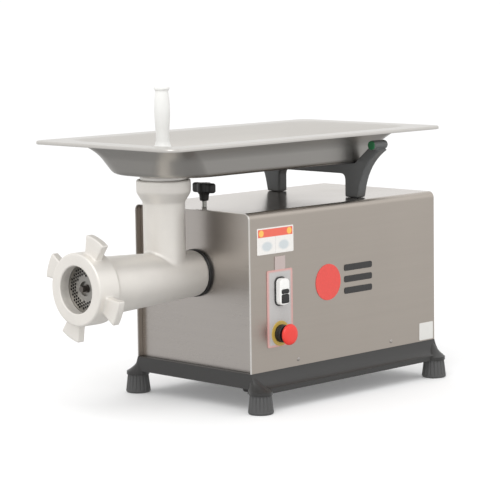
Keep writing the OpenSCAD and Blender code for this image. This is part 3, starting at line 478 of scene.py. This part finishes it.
combine(wrap, rod(knob_hole_r, 0.01, (knob_mid.x, 0, top_z - 0.005), (0, 0, 1), 40), "DIFFERENCE")
finish_piece(wrap, case_steel, "root", "casing_steel", "casing_wrap")
panel_steel = brushed("panel_steel", (0.44, 0.41, 0.385), "Y", 0.30)
dress(panel_steel, "front_panel", "rear_panel")

rivet_low, rivet_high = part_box("casing_rivets")
rivets = []
for x in (rivet_low.x + 3.2 * MM, rivet_high.x - 3.2 * MM):
    for side in (-1, 1):
        rivets.append(turned([(0, 0), (3.2 * MM, 0), (3.0 * MM, 0.5 * MM), (2.0 * MM, 0.9 * MM),
                              (0.9 * MM, 0.9 * MM), (0.7 * MM, 0.6 * MM), (0, 0.6 * MM)],
                             (x, side * (side_y - 0.1 * MM), (rivet_low.z + rivet_high.z) / 2),
                             (0, side, 0), 24))
finish_piece(thing("casing_rivet_heads", joined(*rivets)), panel_steel, "root", "zinc_steel",
             "casing_rivets")

# ---- Cord gland ---------------------------------------------------------------------------
# A black moulded gland under the deck, near the front corner, where the supply cord goes in.
# A ribbed cap nut screws up over its body.

gland_low, gland_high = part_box("cable_gland")
gland_mid = (gland_low + gland_high) / 2
black_plastic = shade("black_plastic", (0.012, 0.012, 0.012), 0.2, 60, 1600, 0.12, 0.42, 0.12)
gland = turned(in_mm(
    (4, 0), (8.2, 0), (9.4, 1), (10, 2.5), (10, 14), (9.4, 15), (8.6, 15.4), (8.6, 17), (10, 17.4),
    (10, 29), (4, 29)), (gland_mid.x, gland_mid.y, gland_low.z), (0, 0, 1), 96)
for vert in gland.verts:
    out = Vector((vert.co.x - gland_mid.x, vert.co.y - gland_mid.y))
    if out.length > 9.8 * MM and 0.002 < vert.co.z - gland_low.z < 0.0145:
        out *= 1 - 0.035 * max(0, math.cos(24 * math.atan2(out.y, out.x)))
        vert.co.x, vert.co.y = gland_mid.x + out.x, gland_mid.y + out.y
finish_piece(thing("cord_gland", gland), black_plastic, "root", "black_plastic", "cable_gland")

# ---- Collar -------------------------------------------------------------------------------
# A black collar seals the hole in the front panel where the head's spigot goes in.

collar_low, collar_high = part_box("head_collar")
head_z = (collar_low.z + collar_high.z) / 2
collar_r = (collar_high.z - collar_low.z) / 2
spigot_r = 32 * MM
collar = turned([(spigot_r + 0.2 * MM, 0), (collar_r - 0.8 * MM, 0), (collar_r, 0.8 * MM),
                 (collar_r, 5 * MM), (spigot_r + MM, 5 * MM), (spigot_r + MM, 8 * MM),
                 (spigot_r + 0.2 * MM, 8 * MM)], (collar_low.x, 0, head_z), (1, 0, 0))
finish_piece(thing("head_seal", collar), black_plastic, "root", "black_plastic", "head_collar")

# ---- Grinding head ------------------------------------------------------------------------
# Barrel, neck and cup are one casting, blasted and tinned to a pale matte skin. The inside
# is bored for the feed screw, and the front is turned for the hole plate and the ring nut.

cast_tin = shade("cast_tin", (0.76, 0.73, 0.685), 0.09, 26, 700, 0.25, 0.48, 0.14, Metallic=0.5)


def clay(obj, voxel, passes, where=None):
    """obj remade as an even skin and smoothed, as a casting's edges and corners are."""
    remesh = obj.modifiers.new("skin", "REMESH")
    remesh.mode, remesh.voxel_size, remesh.use_smooth_shade = "VOXEL", voxel, True
    applied(obj)
    bm = bmesh.new()
    bm.from_mesh(obj.data)
    verts = [v for v in bm.verts if where is None or where(v.co)]
    for _ in range(passes):
        bmesh.ops.smooth_vert(bm, verts=verts, factor=0.5, use_axis_x=True, use_axis_y=True,
                              use_axis_z=True)
    bm.to_mesh(obj.data)
    bm.free()
    return obj


head_low, head_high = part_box("head_casting")
neck_x = sum(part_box("meat_pusher"), Vector()).x / 2
cup_z = head_high.z
barrel_x = head_low.x
barrel_front_r, barrel_back_r, neck_r = 43.8 * MM, 35 * MM, 31.75 * MM
seat_l = 27 * MM
barrel_side = [(0, 0), (46.9, 0), (47, 0.4), (47, 24), (44, 24.6), (43.8, 27)]
barrel = [(r * MM, barrel_x + h * MM) for r, h in barrel_side]
barrel += [(barrel_back_r, collar_low.x - 0.3 * MM), (spigot_r - 0.1 * MM, collar_low.x - 0.3 * MM),
           (spigot_r - 0.1 * MM, head_high.x), (0, head_high.x)]
head = thing("grinding_head", turned(barrel, (0, 0, head_z), (1, 0, 0)))
neck_side = [(0, 0), (31.75, 0), (31.75, 113.5), (32.4, 115), (40, 127), (41, 129.5), (41, 146.8),
             (40, 148), (0, 148)]
combine(head, turned(in_mm(*neck_side), (neck_x, 0, head_z), (0, 0, 1)),
        "UNION")


def in_saddle(co):
    """Where the neck's skin runs into the barrel's, within a few millimetres of the seam."""
    along = (co.x - barrel_x - seat_l) / (collar_low.x - barrel_x - seat_l)
    barrel_r = barrel_front_r + (barrel_back_r - barrel_front_r) * along
    off_barrel = math.hypot(co.y, co.z - head_z) - barrel_r
    off_neck = math.hypot(co.x - neck_x, co.y) - neck_r
    return co.z > head_z and max(off_barrel, off_neck) < 3 * MM and min(off_barrel, off_neck) > -2 * MM


clay(head, 1.6 * MM, 2)
clay(head, 1.6 * MM, 10, in_saddle)
combine(head, turned([(0, -1 * MM), (41.3 * MM, -1 * MM), (41.3 * MM, 14 * MM), (33 * MM, 14.4 * MM),
                      (33 * MM, front_x - 16 * MM - barrel_x), (19 * MM, front_x - 15.5 * MM - barrel_x),
                      (19 * MM, 0.3), (0, 0.3)], (barrel_x, 0, head_z), (1, 0, 0)), "DIFFERENCE")
combine(head, turned([(0, 0), (27.25 * MM, 0), (27.25 * MM, 128 * MM), (36.3 * MM, 128.4 * MM),
                      (36.3 * MM, 150 * MM), (0, 150 * MM)], (neck_x, 0, head_z), (0, 0, 1)),
        "DIFFERENCE")
finish_piece(head, cast_tin, "root", "cast_aluminium", "head_casting", smooth=40)

# ---- Ring nut -----------------------------------------------------------------------------
# The ring nut is cast in the same metal. Four wings stand out of its side to grip or knock
# it round, and its front rim holds the hole plate against the barrel.

ring_low, ring_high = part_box("ring_nut")
ring_r = 54 * MM
wing_r = (ring_high.z - ring_low.z) / 2
ring = thing("ring_nut_casting", turned(in_mm(
    (0, 0), (52.4, 0), (54, 1.8), (54, 37.5), (52, 40), (0, 40)), (ring_low.x, 0, head_z), (1, 0, 0)))
for k in range(4):
    turn = math.radians(22 + 90 * k)
    tip_half = math.asin(19.5 * MM / wing_r)
    arc = [(wing_r * math.cos(tip_half * t), wing_r * math.sin(tip_half * t))
           for t in (-1, -0.66, -0.33, 0, 0.33, 0.66, 1)]
    wing = [(46 * MM, -11 * MM), *arc, (46 * MM, 11 * MM)]
    wing = plate([(ring_low.x + 12 * MM, a, b) for a, b in wing], (12 * MM, 0, 0))
    bmesh.ops.rotate(wing, verts=wing.verts, cent=(0, 0, 0), matrix=Matrix.Rotation(turn, 3, "X"))
    bmesh.ops.translate(wing, verts=wing.verts, vec=(0, 0, head_z))
    combine(ring, wing, "UNION")
clay(ring, 1.1 * MM, 4)
combine(ring, turned(in_mm(
    (0, -2), (37.4, -2), (36.6, 0), (35.2, 0.8), (34.75, 2.2), (34.75, 9.5), (36, 9.5), (36, 17.5),
    (41.6, 17.5), (41.6, 20), (47.05, 20.2), (47.05, 45), (0, 45)), (ring_low.x, 0, head_z),
    (1, 0, 0)), "DIFFERENCE")
finish_piece(ring, cast_tin, "ring_nut", "cast_aluminium", "ring_nut", smooth=40)

# ---- Plate, knife and feed screw ----------------------------------------------------------
# The hole plate and the knife are ground tool steel. The feed screw is cast and tinned, and
# the end of its stud shows in the middle of the plate.

tool_steel = shade("tool_steel", (0.33, 0.32, 0.30), 0.15, 90, 1500, 0.08, 0.36, 0.16, Metallic=1.0)
dress(tool_steel, "hole_plate", "cutting_knife")
screw_tin = shade("screw_tin", (0.50, 0.48, 0.45), 0.1, 40, 700, 0.2, 0.42, 0.14, Metallic=1.0)
# Painted shade: the front 32 mm of the feed screw, its stud deep in the recess of the plate's hub, are
# coloured far darker than the tinned screw.
along = screw_tin.node("SeparateXYZ", [screw_tin.place], out=0)
stud_painted_shade = band(along, ring_low.x, ring_low.x + 32 * MM, MM)
screw_tin.feed("Base Color", screw_tin.mix(stud_painted_shade, (0.50, 0.48, 0.45), (0.16, 0.145, 0.135)))
dress(screw_tin, "feed_screw")
bronze = shade("bronze", (0.44, 0.27, 0.11), 0.12, 120, 1500, 0.06, 0.36, 0.14, Metallic=1.0)
dress(bronze, "screw_bush")

# ---- Drive --------------------------------------------------------------------------------
# Inside the casing: a cast two-stage gearbox, its shafts and ball bearings, and a fan-cooled
# motor with its capacitor. None of it shows while the casing is on.

gear_steel = shade("gear_steel", (0.30, 0.30, 0.31), 0.18, 70, 1600, 0.06, 0.32, 0.16, Metallic=1.0)
dress(gear_steel, "output_shaft", "output_gear", "layshaft", "layshaft_gear", "layshaft_pinion",
      "motor_shaft", "motor_pinion", "output_bearings", "layshaft_bearings", "motor_bearings")
box_metal = shade("gearbox_metal", (0.42, 0.42, 0.41), 0.12, 40, 500, 0.4, 0.55, 0.12, Metallic=0.8)
dress(box_metal, "gearbox_housing", "gearbox_cover", "bearing_carrier")
motor_paint = shade("motor_paint", (0.10, 0.11, 0.125), 0.10, 40, 700, 0.3, 0.48, 0.12)
dress(motor_paint, "motor_frame", "motor_end_shield", "fan_cowl", "gearbox_bracket")
winding = Finish("winding", Metallic=0.6)
laps = winding.node("TexWave", {"Vector": winding.place, "Scale": 90.0, "Distortion": 2.0},
                    bands_direction="X")
winding.feed("Base Color", winding.mix(laps, (0.16, 0.06, 0.02), (0.55, 0.26, 0.10)))
winding.feed("Roughness", laps * 0.2 + 0.3)
dress(winding, "motor_stator", "motor_rotor")
can_metal = shade("capacitor_can", (0.62, 0.62, 0.61), 0.06, 60, 1500, 0.05, 0.34, 0.1, Metallic=1.0)
dress(can_metal, "run_capacitor", "capacitor_clip")
dress(black_plastic, "motor_fan")

# ---- Clamp knob ---------------------------------------------------------------------------
# A black moulded T-handle on a plated screw. It goes down through the casing's top and
# clamps the head's spigot in the gearbox.

knob_low, knob_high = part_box("clamp_knob")
bar_z = knob_high.z - 15 * MM
bar_half = (knob_high.y - knob_low.y) / 2
end_r = 6.5 * MM
capsule = []
for end in (1, -1):
    for degrees in range(0, 181, 15):
        a = math.radians(degrees) + (math.pi if end < 0 else 0)
        capsule.append((knob_mid.x + end_r * math.cos(a),
                        end * (bar_half - end_r) + end_r * math.sin(a), bar_z))
bar = soften(plate(capsule, (0, 0, 15 * MM)), 3.5 * MM, 4, 60)
stem = turned(in_mm(
    (4.1, 6), (6.2, 6), (6.6, 6.5), (7, 9), (7.6, 15), (10.4, 19.5), (11, 21), (11, 32), (9.6, 33),
    (0, 33), (0, 30), (4.1, 30)), (knob_mid.x, 0, knob_low.z), (0, 0, 1), 48)
knob = thing("clamp_handle", stem)
combine(knob, bar, "UNION")
finish_piece(knob, black_plastic, "clamp_knob", "black_plastic", "clamp_knob")
screw_low, screw_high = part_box("clamp_screw")
screw_r = (screw_high.x - screw_low.x) / 2
turns = int((screw_high.z - screw_low.z) / (1.25 * MM))
thread = [(0, 0), (3.2 * MM, 0)]
for k in range(turns):
    thread += [(screw_r - 0.7 * MM, (k + 0.3) * 1.25 * MM), (screw_r, (k + 0.8) * 1.25 * MM)]
thread += [(screw_r - 0.6 * MM, screw_high.z - screw_low.z), (0, screw_high.z - screw_low.z)]
finish_piece(thing("clamp_thread", turned(thread, (knob_mid.x, 0, screw_low.z), (0, 0, 1), 32)),
             zinc, "clamp_knob", "zinc_steel", "clamp_screw")

# ---- Yoke ---------------------------------------------------------------------------------
# A dark grey casting that stands on the casing's top on two legs. Its beam carries the
# tray's floor, and its arms sweep out beside the tray to a cross boss with a green cap.

yoke_low, yoke_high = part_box("tray_yoke")
yoke_mid = (yoke_low + yoke_high) / 2
yoke_t = 19 * MM
leg_in, leg_out = 72 * MM, 99 * MM
floor_z = cup_z + 8 * MM
beam_top = floor_z - sheet_t
boss_y, boss_z, boss_r = 135.5 * MM, yoke_high.z - 7.5 * MM, 7.5 * MM


def yoke_half():
    """One side of the yoke in (Y, Z): a leg, half the beam and the arm that sweeps out."""
    beam_z = beam_top - 18.3 * MM
    arm_out = (boss_y + boss_r + 3.8 * MM, boss_z - boss_r)
    side = bend((leg_in - 10 * MM, beam_z), (leg_in, beam_z), (leg_in, beam_z - 10 * MM), 6)
    side += [Vector((leg_in, yoke_low.z)), Vector((leg_out, yoke_low.z))]
    side += bend((leg_out + 2 * MM, top_z + 10 * MM), (leg_out + 10 * MM, boss_z - 30 * MM), arm_out, 10)
    return side + [Vector((boss_y - boss_r, boss_z)), Vector((92 * MM, beam_top - 0.3 * MM))]


half = yoke_half()
outline = half + [Vector((-p.x, p.y)) for p in reversed(half)]
casting = plate([(yoke_mid.x - yoke_t / 2, *p) for p in outline], (yoke_t, 0, 0))
bosses = [turned(in_mm(
    (0, 0), (6.9, 0), (7.5, 0.7), (7.5, 28), (6.8, 31), (4.6, 32.7), (0, 33)),
    (yoke_low.x, side * boss_y, boss_z), (1, 0, 0), 48) for side in (-1, 1)]
yoke = thing("yoke_casting", joined(soften(casting, 1.8 * MM, 3, 35), *bosses))
clay(yoke, 1.2 * MM, 3)
yoke_paint = shade("yoke_paint", (0.095, 0.098, 0.098), 0.10, 24, 800, 0.25, 0.40, 0.14)
finish_piece(yoke, yoke_paint, "root", "dark_casting", "tray_yoke")

green_plastic = shade("green_plastic", (0.012, 0.13, 0.045), 0.12, 90, 1400, 0.06, 0.35, 0.1)
caps = [turned(in_mm(
    (0, 0), (5.6, 0), (6.8, 0.5), (7.0, 1.2), (7.0, 1.5), (4.7, 1.5), (4.7, 2.7), (0, 2.7)),
    (yoke_low.x - 1.5 * MM, side * boss_y, boss_z), (1, 0, 0), 40) for side in (-1, 1)]
finish_piece(thing("boss_plugs", joined(*caps)), green_plastic, "root", "green_plastic", "yoke_caps")

# ---- Feed tray ----------------------------------------------------------------------------
# The tray is one pressing of brushed stainless sheet. A wide flat flange with a
# turned-down lip runs round a shallow pan, and a spout under the floor drops into the cup.

tray_low, tray_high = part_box("feed_tray")
tray_mid = (tray_low + tray_high) / 2
tray_half = (tray_high - tray_low) / 2
tray_z = tray_high.z
flange_w = 35 * MM
end_slope, side_slope = 42 * MM, 30 * MM


def ring_of(dx, dy, radius, z, steps=10):
    """A loop of points round the tray, set in by dx and dy, with rounded corners."""
    lx, ly = tray_half.x - dx - radius, tray_half.y - dy - radius
    return [(tray_mid.x + sx * lx + radius * math.cos(a), sy * ly + radius * math.sin(a), z)
            for corner, (sx, sy) in enumerate(((1, 1), (-1, 1), (-1, -1), (1, -1)))
            for a in (math.radians(90 * (corner + step / steps)) for step in range(steps + 1))]


def disc_of(radius, z, count=44):
    """A loop of points round the neck's axis, as many as a ring has."""
    return [(neck_x + radius * math.cos(a), radius * math.sin(a), z)
            for a in (math.tau * (k + 0.5) / count for k in range(count))]


rim_r = 20 * MM
loops = [ring_of(0, 0, rim_r, tray_z - drop * MM) for drop in (5, 3.5, 2)]
for a in (30, 60, 90):
    inset = 2 * MM * (1 - math.cos(math.radians(a)))
    drop = 2 * MM * (1 - math.sin(math.radians(a)))
    loops.append(ring_of(inset, inset, rim_r - inset, tray_z - drop))
loops.append(ring_of(flange_w * 0.5, flange_w * 0.5, 24 * MM, tray_z))
wall = (bend((0, 0), (0.14, 0.02), (0.36, 0.18), 6) + bend((0.48, 0.28), (0.63, 0.41), (0.71, 0.55), 5)
        + bend((0.90, 0.88), (0.97, 1), (1.10, 1), 5))
for inward, down in wall:
    loops.append(ring_of(flange_w + end_slope * inward, flange_w + side_slope * inward,
                         (28 + 34 * inward) * MM, tray_z + (floor_z - tray_z) * down))
loops += [disc_of(radius * MM, floor_z - drop * MM)
          for radius, drop in ((40, 0), (37, 0.3), (35, 1.5), (34.2, 3.2), (34, 5.5))]
loops.append(disc_of(34 * MM, tray_low.z))
sheet = loft(loops, capped=False)
bmesh.ops.solidify(sheet, geom=sheet.faces[:], thickness=sheet_t)
bmesh.ops.recalc_face_normals(sheet, faces=sheet.faces)
soften(sheet, 0.4 * MM, 2, 60)
bmesh.ops.recalc_face_normals(sheet, faces=sheet.faces)
tray_steel = brushed("tray_steel", (0.60, 0.58, 0.55), "X", 0.36, 0.06, 0.05)
finish_piece(thing("tray_pressing", sheet), tray_steel, "feed_tray", "tray_steel", "feed_tray")

# ---- Pusher -------------------------------------------------------------------------------
# The pusher is moulded in white food-grade plastic. It has a waisted grip with a knob at
# the top, a shoulder that stops it on the tray's floor, and a plunger below.

pusher_low, pusher_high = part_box("meat_pusher")
white_plastic = shade("white_plastic", (0.80, 0.80, 0.78), 0.03, 30, 1200, 0.08, 0.38, 0.12)
side = [Vector(p) for p in ((0, -57), (22, -57), (24.4, -56.2), (25, -54.5), (25, 0.3), (37.5, 0.3),
                            (38.5, 1.2), (38.5, 2.4), (37.6, 3.3), (34, 4.0), (27, 6.5))]
side += bend((25, 8), (16.5, 15), (14.8, 33), 8)
side += bend((14.6, 39), (11.4, 42), (10.3, 50), 5)
side += bend((10.1, 62), (11.6, 80), (12, 92), 8)
side += bend((12, 96), (11.6, 112), (9.9, 122), 8)
side += bend((9.9, 123.5), (10.2, 125.4), (11.6, 126), 4)
side += bend((11.9, 127), (12, 130), (10.4, 131), 6)
side.append(Vector((0, 131)))
pusher = turned(in_mm(*side), (neck_x, 0, floor_z), (0, 0, 1), 72)
finish_piece(thing("pusher_moulding", pusher), white_plastic, "meat_pusher", "white_plastic",
             "meat_pusher")

# ---- Control plate and labels -------------------------------------------------------------
# Printed films on the casing's side: the grey plate round the controls with a soft red
# border, above it a white label with a red header, yellow spots and pale patches, a small
# plain label low down, and an emblem of a red disc and three dark bars.


def film_piece(node, radius, edge=0.25 * MM):
    """A thin plate with round corners that fills the node's box."""
    low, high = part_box(node)
    bm = cuboid((low + high) / 2, high - low)
    soften(bm, radius, 6, 60, lambda e: abs(e.verts[0].co.y - e.verts[1].co.y) > 0.5 * (high.y - low.y))
    return soften(bm, edge, 2, 60)


plate_low, plate_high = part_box("control_plate")
plate_mid = (plate_low + plate_high) / 2
face_top = plate_low.z + 117 * MM
plate_w, plate_t = plate_high.x - plate_low.x, plate_high.y - plate_low.y
main = cuboid((plate_mid.x, plate_mid.y, (plate_low.z + face_top) / 2),
              (plate_w, plate_t, face_top - plate_low.z))
upright = cuboid((plate_mid.x + 1 * MM, plate_mid.y, face_top + 7 * MM), (22 * MM, plate_t, 26 * MM))
control = thing("control_film", soften(main, 3 * MM, 6, 60, lambda e: abs(
    e.verts[0].co.z - e.verts[1].co.z) < MM and abs(e.verts[0].co.x - e.verts[1].co.x) < MM))
combine(control, upright, "UNION")
combine(control, cuboid((switch_mid.x, -side_y, switch_mid.z), switch_hole), "DIFFERENCE")
combine(control, rod(estop_hole_r, 0.01, (estop_mid.x, -side_y - 0.006, estop_mid.z), (0, 1, 0)),
        "DIFFERENCE")
rounded_edges(control, 0.2 * MM)
film = Finish("control_film", Roughness=0.4)
x, y, z = (film.node("SeparateXYZ", [film.place], out=axis) for axis in range(3))
speck = film.noise(500, 3.0)
line = 1 - band(x, plate_low.x + 4 * MM, plate_high.x - 4 * MM, 4 * MM) * band(
    z, plate_low.z + 3 * MM, face_top - 3 * MM, 3 * MM)
grey = film.mix(speck, (0.42, 0.41, 0.40), (0.50, 0.49, 0.48))
above = band(z, face_top, face_top + 0.05)
bordered = film.mix(line * 0.8, grey, (0.62, 0.30, 0.27))
film.feed("Base Color", film.mix(above, bordered, (0.46, 0.38, 0.36)))
film.feed("Roughness", speck * 0.12 + 0.34)
finish_piece(control, film, "root", "control_film", "control_plate")

label_low, label_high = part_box("instruction_label")
paper = Finish("label_paper")
x, y, z = (paper.node("SeparateXYZ", [paper.place], out=axis) for axis in range(3))
speck = paper.noise(400, 3.0)
white = paper.mix(speck, (0.70, 0.68, 0.65), (0.80, 0.78, 0.75))
header = band(z, label_high.z - 14 * MM, label_high.z - 2 * MM) * band(
    x, label_low.x + 2 * MM, label_high.x - 2 * MM)
colour = paper.mix(header, white, (0.74, 0.13, 0.085))
for spot_x in (label_low.x + 9 * MM, label_high.x - 9 * MM):
    off = (x - spot_x).math("POWER", 2) + (z - label_high.z + 8 * MM).math("POWER", 2)
    colour = paper.mix(band(off.math("SQRT"), -1, 5 * MM, MM), colour, (0.85, 0.48, 0.10))
label_mid_x = (label_low.x + label_high.x) / 2
divider = band(x, label_mid_x - 0.4 * MM, label_mid_x + 0.4 * MM)
colour = paper.mix(divider * 0.5 * (1 - header), colour, (0.45, 0.45, 0.45))
for spot_x in (label_low.x + 21 * MM, label_high.x - 21 * MM):
    wide = ((x - spot_x) * 0.65).math("POWER", 2) + (z - label_low.z - 12 * MM).math("POWER", 2)
    colour = paper.mix(band(wide.math("SQRT"), -1, 7 * MM, 3 * MM) * 0.5, colour, (0.34, 0.44, 0.50))
paper.feed("Base Color", colour)
paper.feed("Roughness", speck * 0.1 + 0.4)
finish_piece(thing("upper_label", film_piece("instruction_label", 1.5 * MM, 0.15 * MM)), paper, "root",
             "label_film", "instruction_label")
plain = shade("plain_label", (0.68, 0.67, 0.64), 0.05, 60, 900, 0.03, 0.42, 0.1)
finish_piece(thing("lower_label", film_piece("rating_label", 1.5 * MM, 0.15 * MM)), plain, "root",
             "label_film", "rating_label")

emblem_low, emblem_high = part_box("side_emblem")
emblem_r = (emblem_high.z - emblem_low.z) / 2
emblem_mid = (emblem_low + emblem_high) / 2
bar_l, bar_w, bar_pitch = 64 * MM, 10 * MM, 18 * MM
marks = [turned([(0, 0), (emblem_r - 0.2 * MM, 0), (emblem_r, 0.2 * MM), (emblem_r, 0.8 * MM),
                 (0, 0.8 * MM)],
                (emblem_low.x + emblem_r, emblem_low.y, emblem_mid.z), (0, 1, 0), 96)]
for k in (-1, 0, 1):
    stripe = cuboid((emblem_high.x - bar_l / 2, emblem_mid.y, emblem_mid.z + bar_pitch * k),
                    (bar_l, emblem_high.y - emblem_low.y, bar_w))
    soften(stripe, 3 * MM, 5, 60, lambda e: abs(e.verts[0].co.y - e.verts[1].co.y) > 0.5 * MM)
    marks.append(soften(stripe, 0.15 * MM, 2, 60))
ink = Finish("emblem_ink")
x = ink.node("SeparateXYZ", [ink.place], out=0)
speck = ink.noise(300, 3.0)
red = ink.mix(speck, (0.64, 0.060, 0.048), (0.76, 0.075, 0.06))
black = ink.mix(speck, (0.016, 0.015, 0.015), (0.03, 0.028, 0.028))
ink.feed("Base Color", ink.mix(band(x, emblem_low.x + 2 * emblem_r + 2 * MM, 1), red, black))
ink.feed("Roughness", speck * 0.1 + 0.35)
finish_piece(thing("emblem_marks", joined(*marks)), ink, "root", "emblem_film", "side_emblem")

# ---- Switch -------------------------------------------------------------------------------
# A rocker-sized push switch: a black gasket frame, a white moulded housing with rounded
# ends, and a start and a stop button one above the other in wells.


def slab(centre, size, radius, edge, segments=8):
    """A block whose edges along Y are rounded by radius and whose front edges by edge."""
    centre, size = Vector(centre), Vector(size)
    bm = cuboid(centre, size)
    soften(bm, radius, segments, 60, lambda e: abs(e.verts[0].co.y - e.verts[1].co.y) > 0.5 * size.y)
    front = centre.y - size.y / 2
    return soften(bm, edge, 4, 60, lambda e: all(abs(v.co.y - front) < 1e-6 for v in e.verts))


body_w, body_l = 15.5 * MM, 34 * MM
stalk_w = 4.5 * MM
cap_lift = 2.8 * MM
gasket = thing("switch_gasket", slab(switch_mid, bezel_high - bezel_low, 9 * MM, 0.7 * MM))
combine(gasket, cuboid(switch_mid, (body_w + 0.4 * MM, 9 * MM, body_l + 0.4 * MM)), "DIFFERENCE")
finish_piece(gasket, black_plastic, "root", "black_plastic", "switch_bezel")

housing_low, housing_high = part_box("switch_housing")
front_y = housing_low.y
housing = thing("switch_shell", slab(
    (switch_mid.x, (front_y + bezel_low.y) / 2, switch_mid.z),
    (housing_high.x - housing_low.x, bezel_low.y - front_y, housing_high.z - housing_low.z),
    7 * MM, 2.2 * MM))
combine(housing, cuboid(
    (switch_mid.x, (bezel_low.y + housing_high.y) / 2 - 0.5 * MM, switch_mid.z),
    (body_w, housing_high.y - bezel_low.y + MM, body_l)), "UNION")
buttons = {name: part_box(name) for name in ("start_button", "stop_button")}
button_gap = 0.3 * MM
for low, high in buttons.values():
    mid = (low + high) / 2
    well_y = bezel_low.y - MM
    combine(housing, slab((mid.x, well_y - 10 * MM, mid.z),
                          (high.x - low.x + 2 * button_gap, 20 * MM, high.z - low.z + 2 * button_gap),
                          2.5 * MM, 0.1 * MM, 5), "DIFFERENCE")
    combine(housing, cuboid((mid.x, well_y, mid.z), (stalk_w + 2 * button_gap, 28 * MM,
                                                         stalk_w + 2 * button_gap)), "DIFFERENCE")
finish_piece(housing, white_plastic, "root", "white_plastic", "switch_housing")
for name, (low, high) in buttons.items():
    mid = (low + high) / 2
    back_y = bezel_low.y - MM - cap_lift
    button = thing(name + "_cap", slab((mid.x, (low.y + back_y) / 2, mid.z),
                                       (high.x - low.x, back_y - low.y, high.z - low.z),
                                       2.2 * MM, 1.2 * MM, 5))
    combine(button, cuboid((mid.x, (high.y + back_y) / 2 - 0.5 * MM, mid.z),
                               (stalk_w, high.y - back_y + MM, stalk_w)), "UNION")
    finish_piece(button, black_plastic, name, "black_plastic", name)

# ---- Emergency stop -----------------------------------------------------------------------
# A red mushroom head on a black body, fixed through the side over a yellow disc.

disc_low, disc_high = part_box("estop_disc")
disc_r = (disc_high.x - disc_low.x) / 2
yellow_plastic = shade("yellow_plastic", (0.52, 0.36, 0.07), 0.06, 50, 900, 0.05, 0.42, 0.1)
disc = turned([(11.4 * MM, 0), (disc_r, 0), (disc_r, 0.7 * MM), (disc_r - 0.3 * MM, 1 * MM),
               (11.4 * MM, 1 * MM)], (estop_mid.x, disc_high.y, estop_mid.z), (0, -1, 0), 72)
finish_piece(thing("stop_disc", disc), yellow_plastic, "root", "yellow_plastic", "estop_disc")

body_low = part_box("estop_body")[0]
collar_l = disc_low.y - body_low.y
core = thing("stop_core", soften(cuboid((estop_mid.x, disc_low.y + 22.5 * MM, estop_mid.z),
                                        (28 * MM, 31 * MM, 28 * MM)), 1 * MM, 2, 60))
combine(core, rod(6.4 * MM, 0.06, (estop_mid.x, body_low.y - 0.01, estop_mid.z), (0, 1, 0)),
        "DIFFERENCE")
block = bmesh.new()
block.from_mesh(core.data)
bpy.data.objects.remove(core)
body = thing("stop_body", joined(block, turned([(r * MM, h) for r, h in (
    (6.6, -9 * MM), (11, -9 * MM), (11, 0), (13.5, 0), (13.5, collar_l * 0.35), (13.1, collar_l * 0.4),
    (13.1, collar_l * 0.55), (13.5, collar_l * 0.6), (13.5, collar_l - 0.8 * MM), (12.7, collar_l),
    (6.6, collar_l))], (estop_mid.x, disc_low.y, estop_mid.z), (0, -1, 0), 64)))
finish_piece(body, black_plastic, "root", "black_plastic", "estop_body")

mushroom_low, mushroom_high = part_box("estop_button")
mushroom_r = (mushroom_high.x - mushroom_low.x) / 2
red_plastic = shade("red_plastic", (0.74, 0.040, 0.028), 0.08, 50, 1000, 0.05, 0.32, 0.1)
reach = mushroom_high.y - mushroom_low.y
tip = reach / MM
side = [Vector((0, 0)), Vector((6, 0)), Vector((6, tip - 7.5)), Vector((13.6, tip - 7.5))]
side += bend((14.8, tip - 7.2), (15.9, tip - 6.6), (16, tip - 5.4), 5)
side += bend((16, tip - 4.8), (15.2, tip - 0.6), (7, tip - 0.1), 10)
side.append(Vector((0, tip)))
mushroom = turned(in_mm(*side), (estop_mid.x, mushroom_high.y, estop_mid.z),
                  (0, -1, 0), 72)
finish_piece(thing("stop_head", mushroom), red_plastic, "estop_button", "red_plastic", "estop_button")
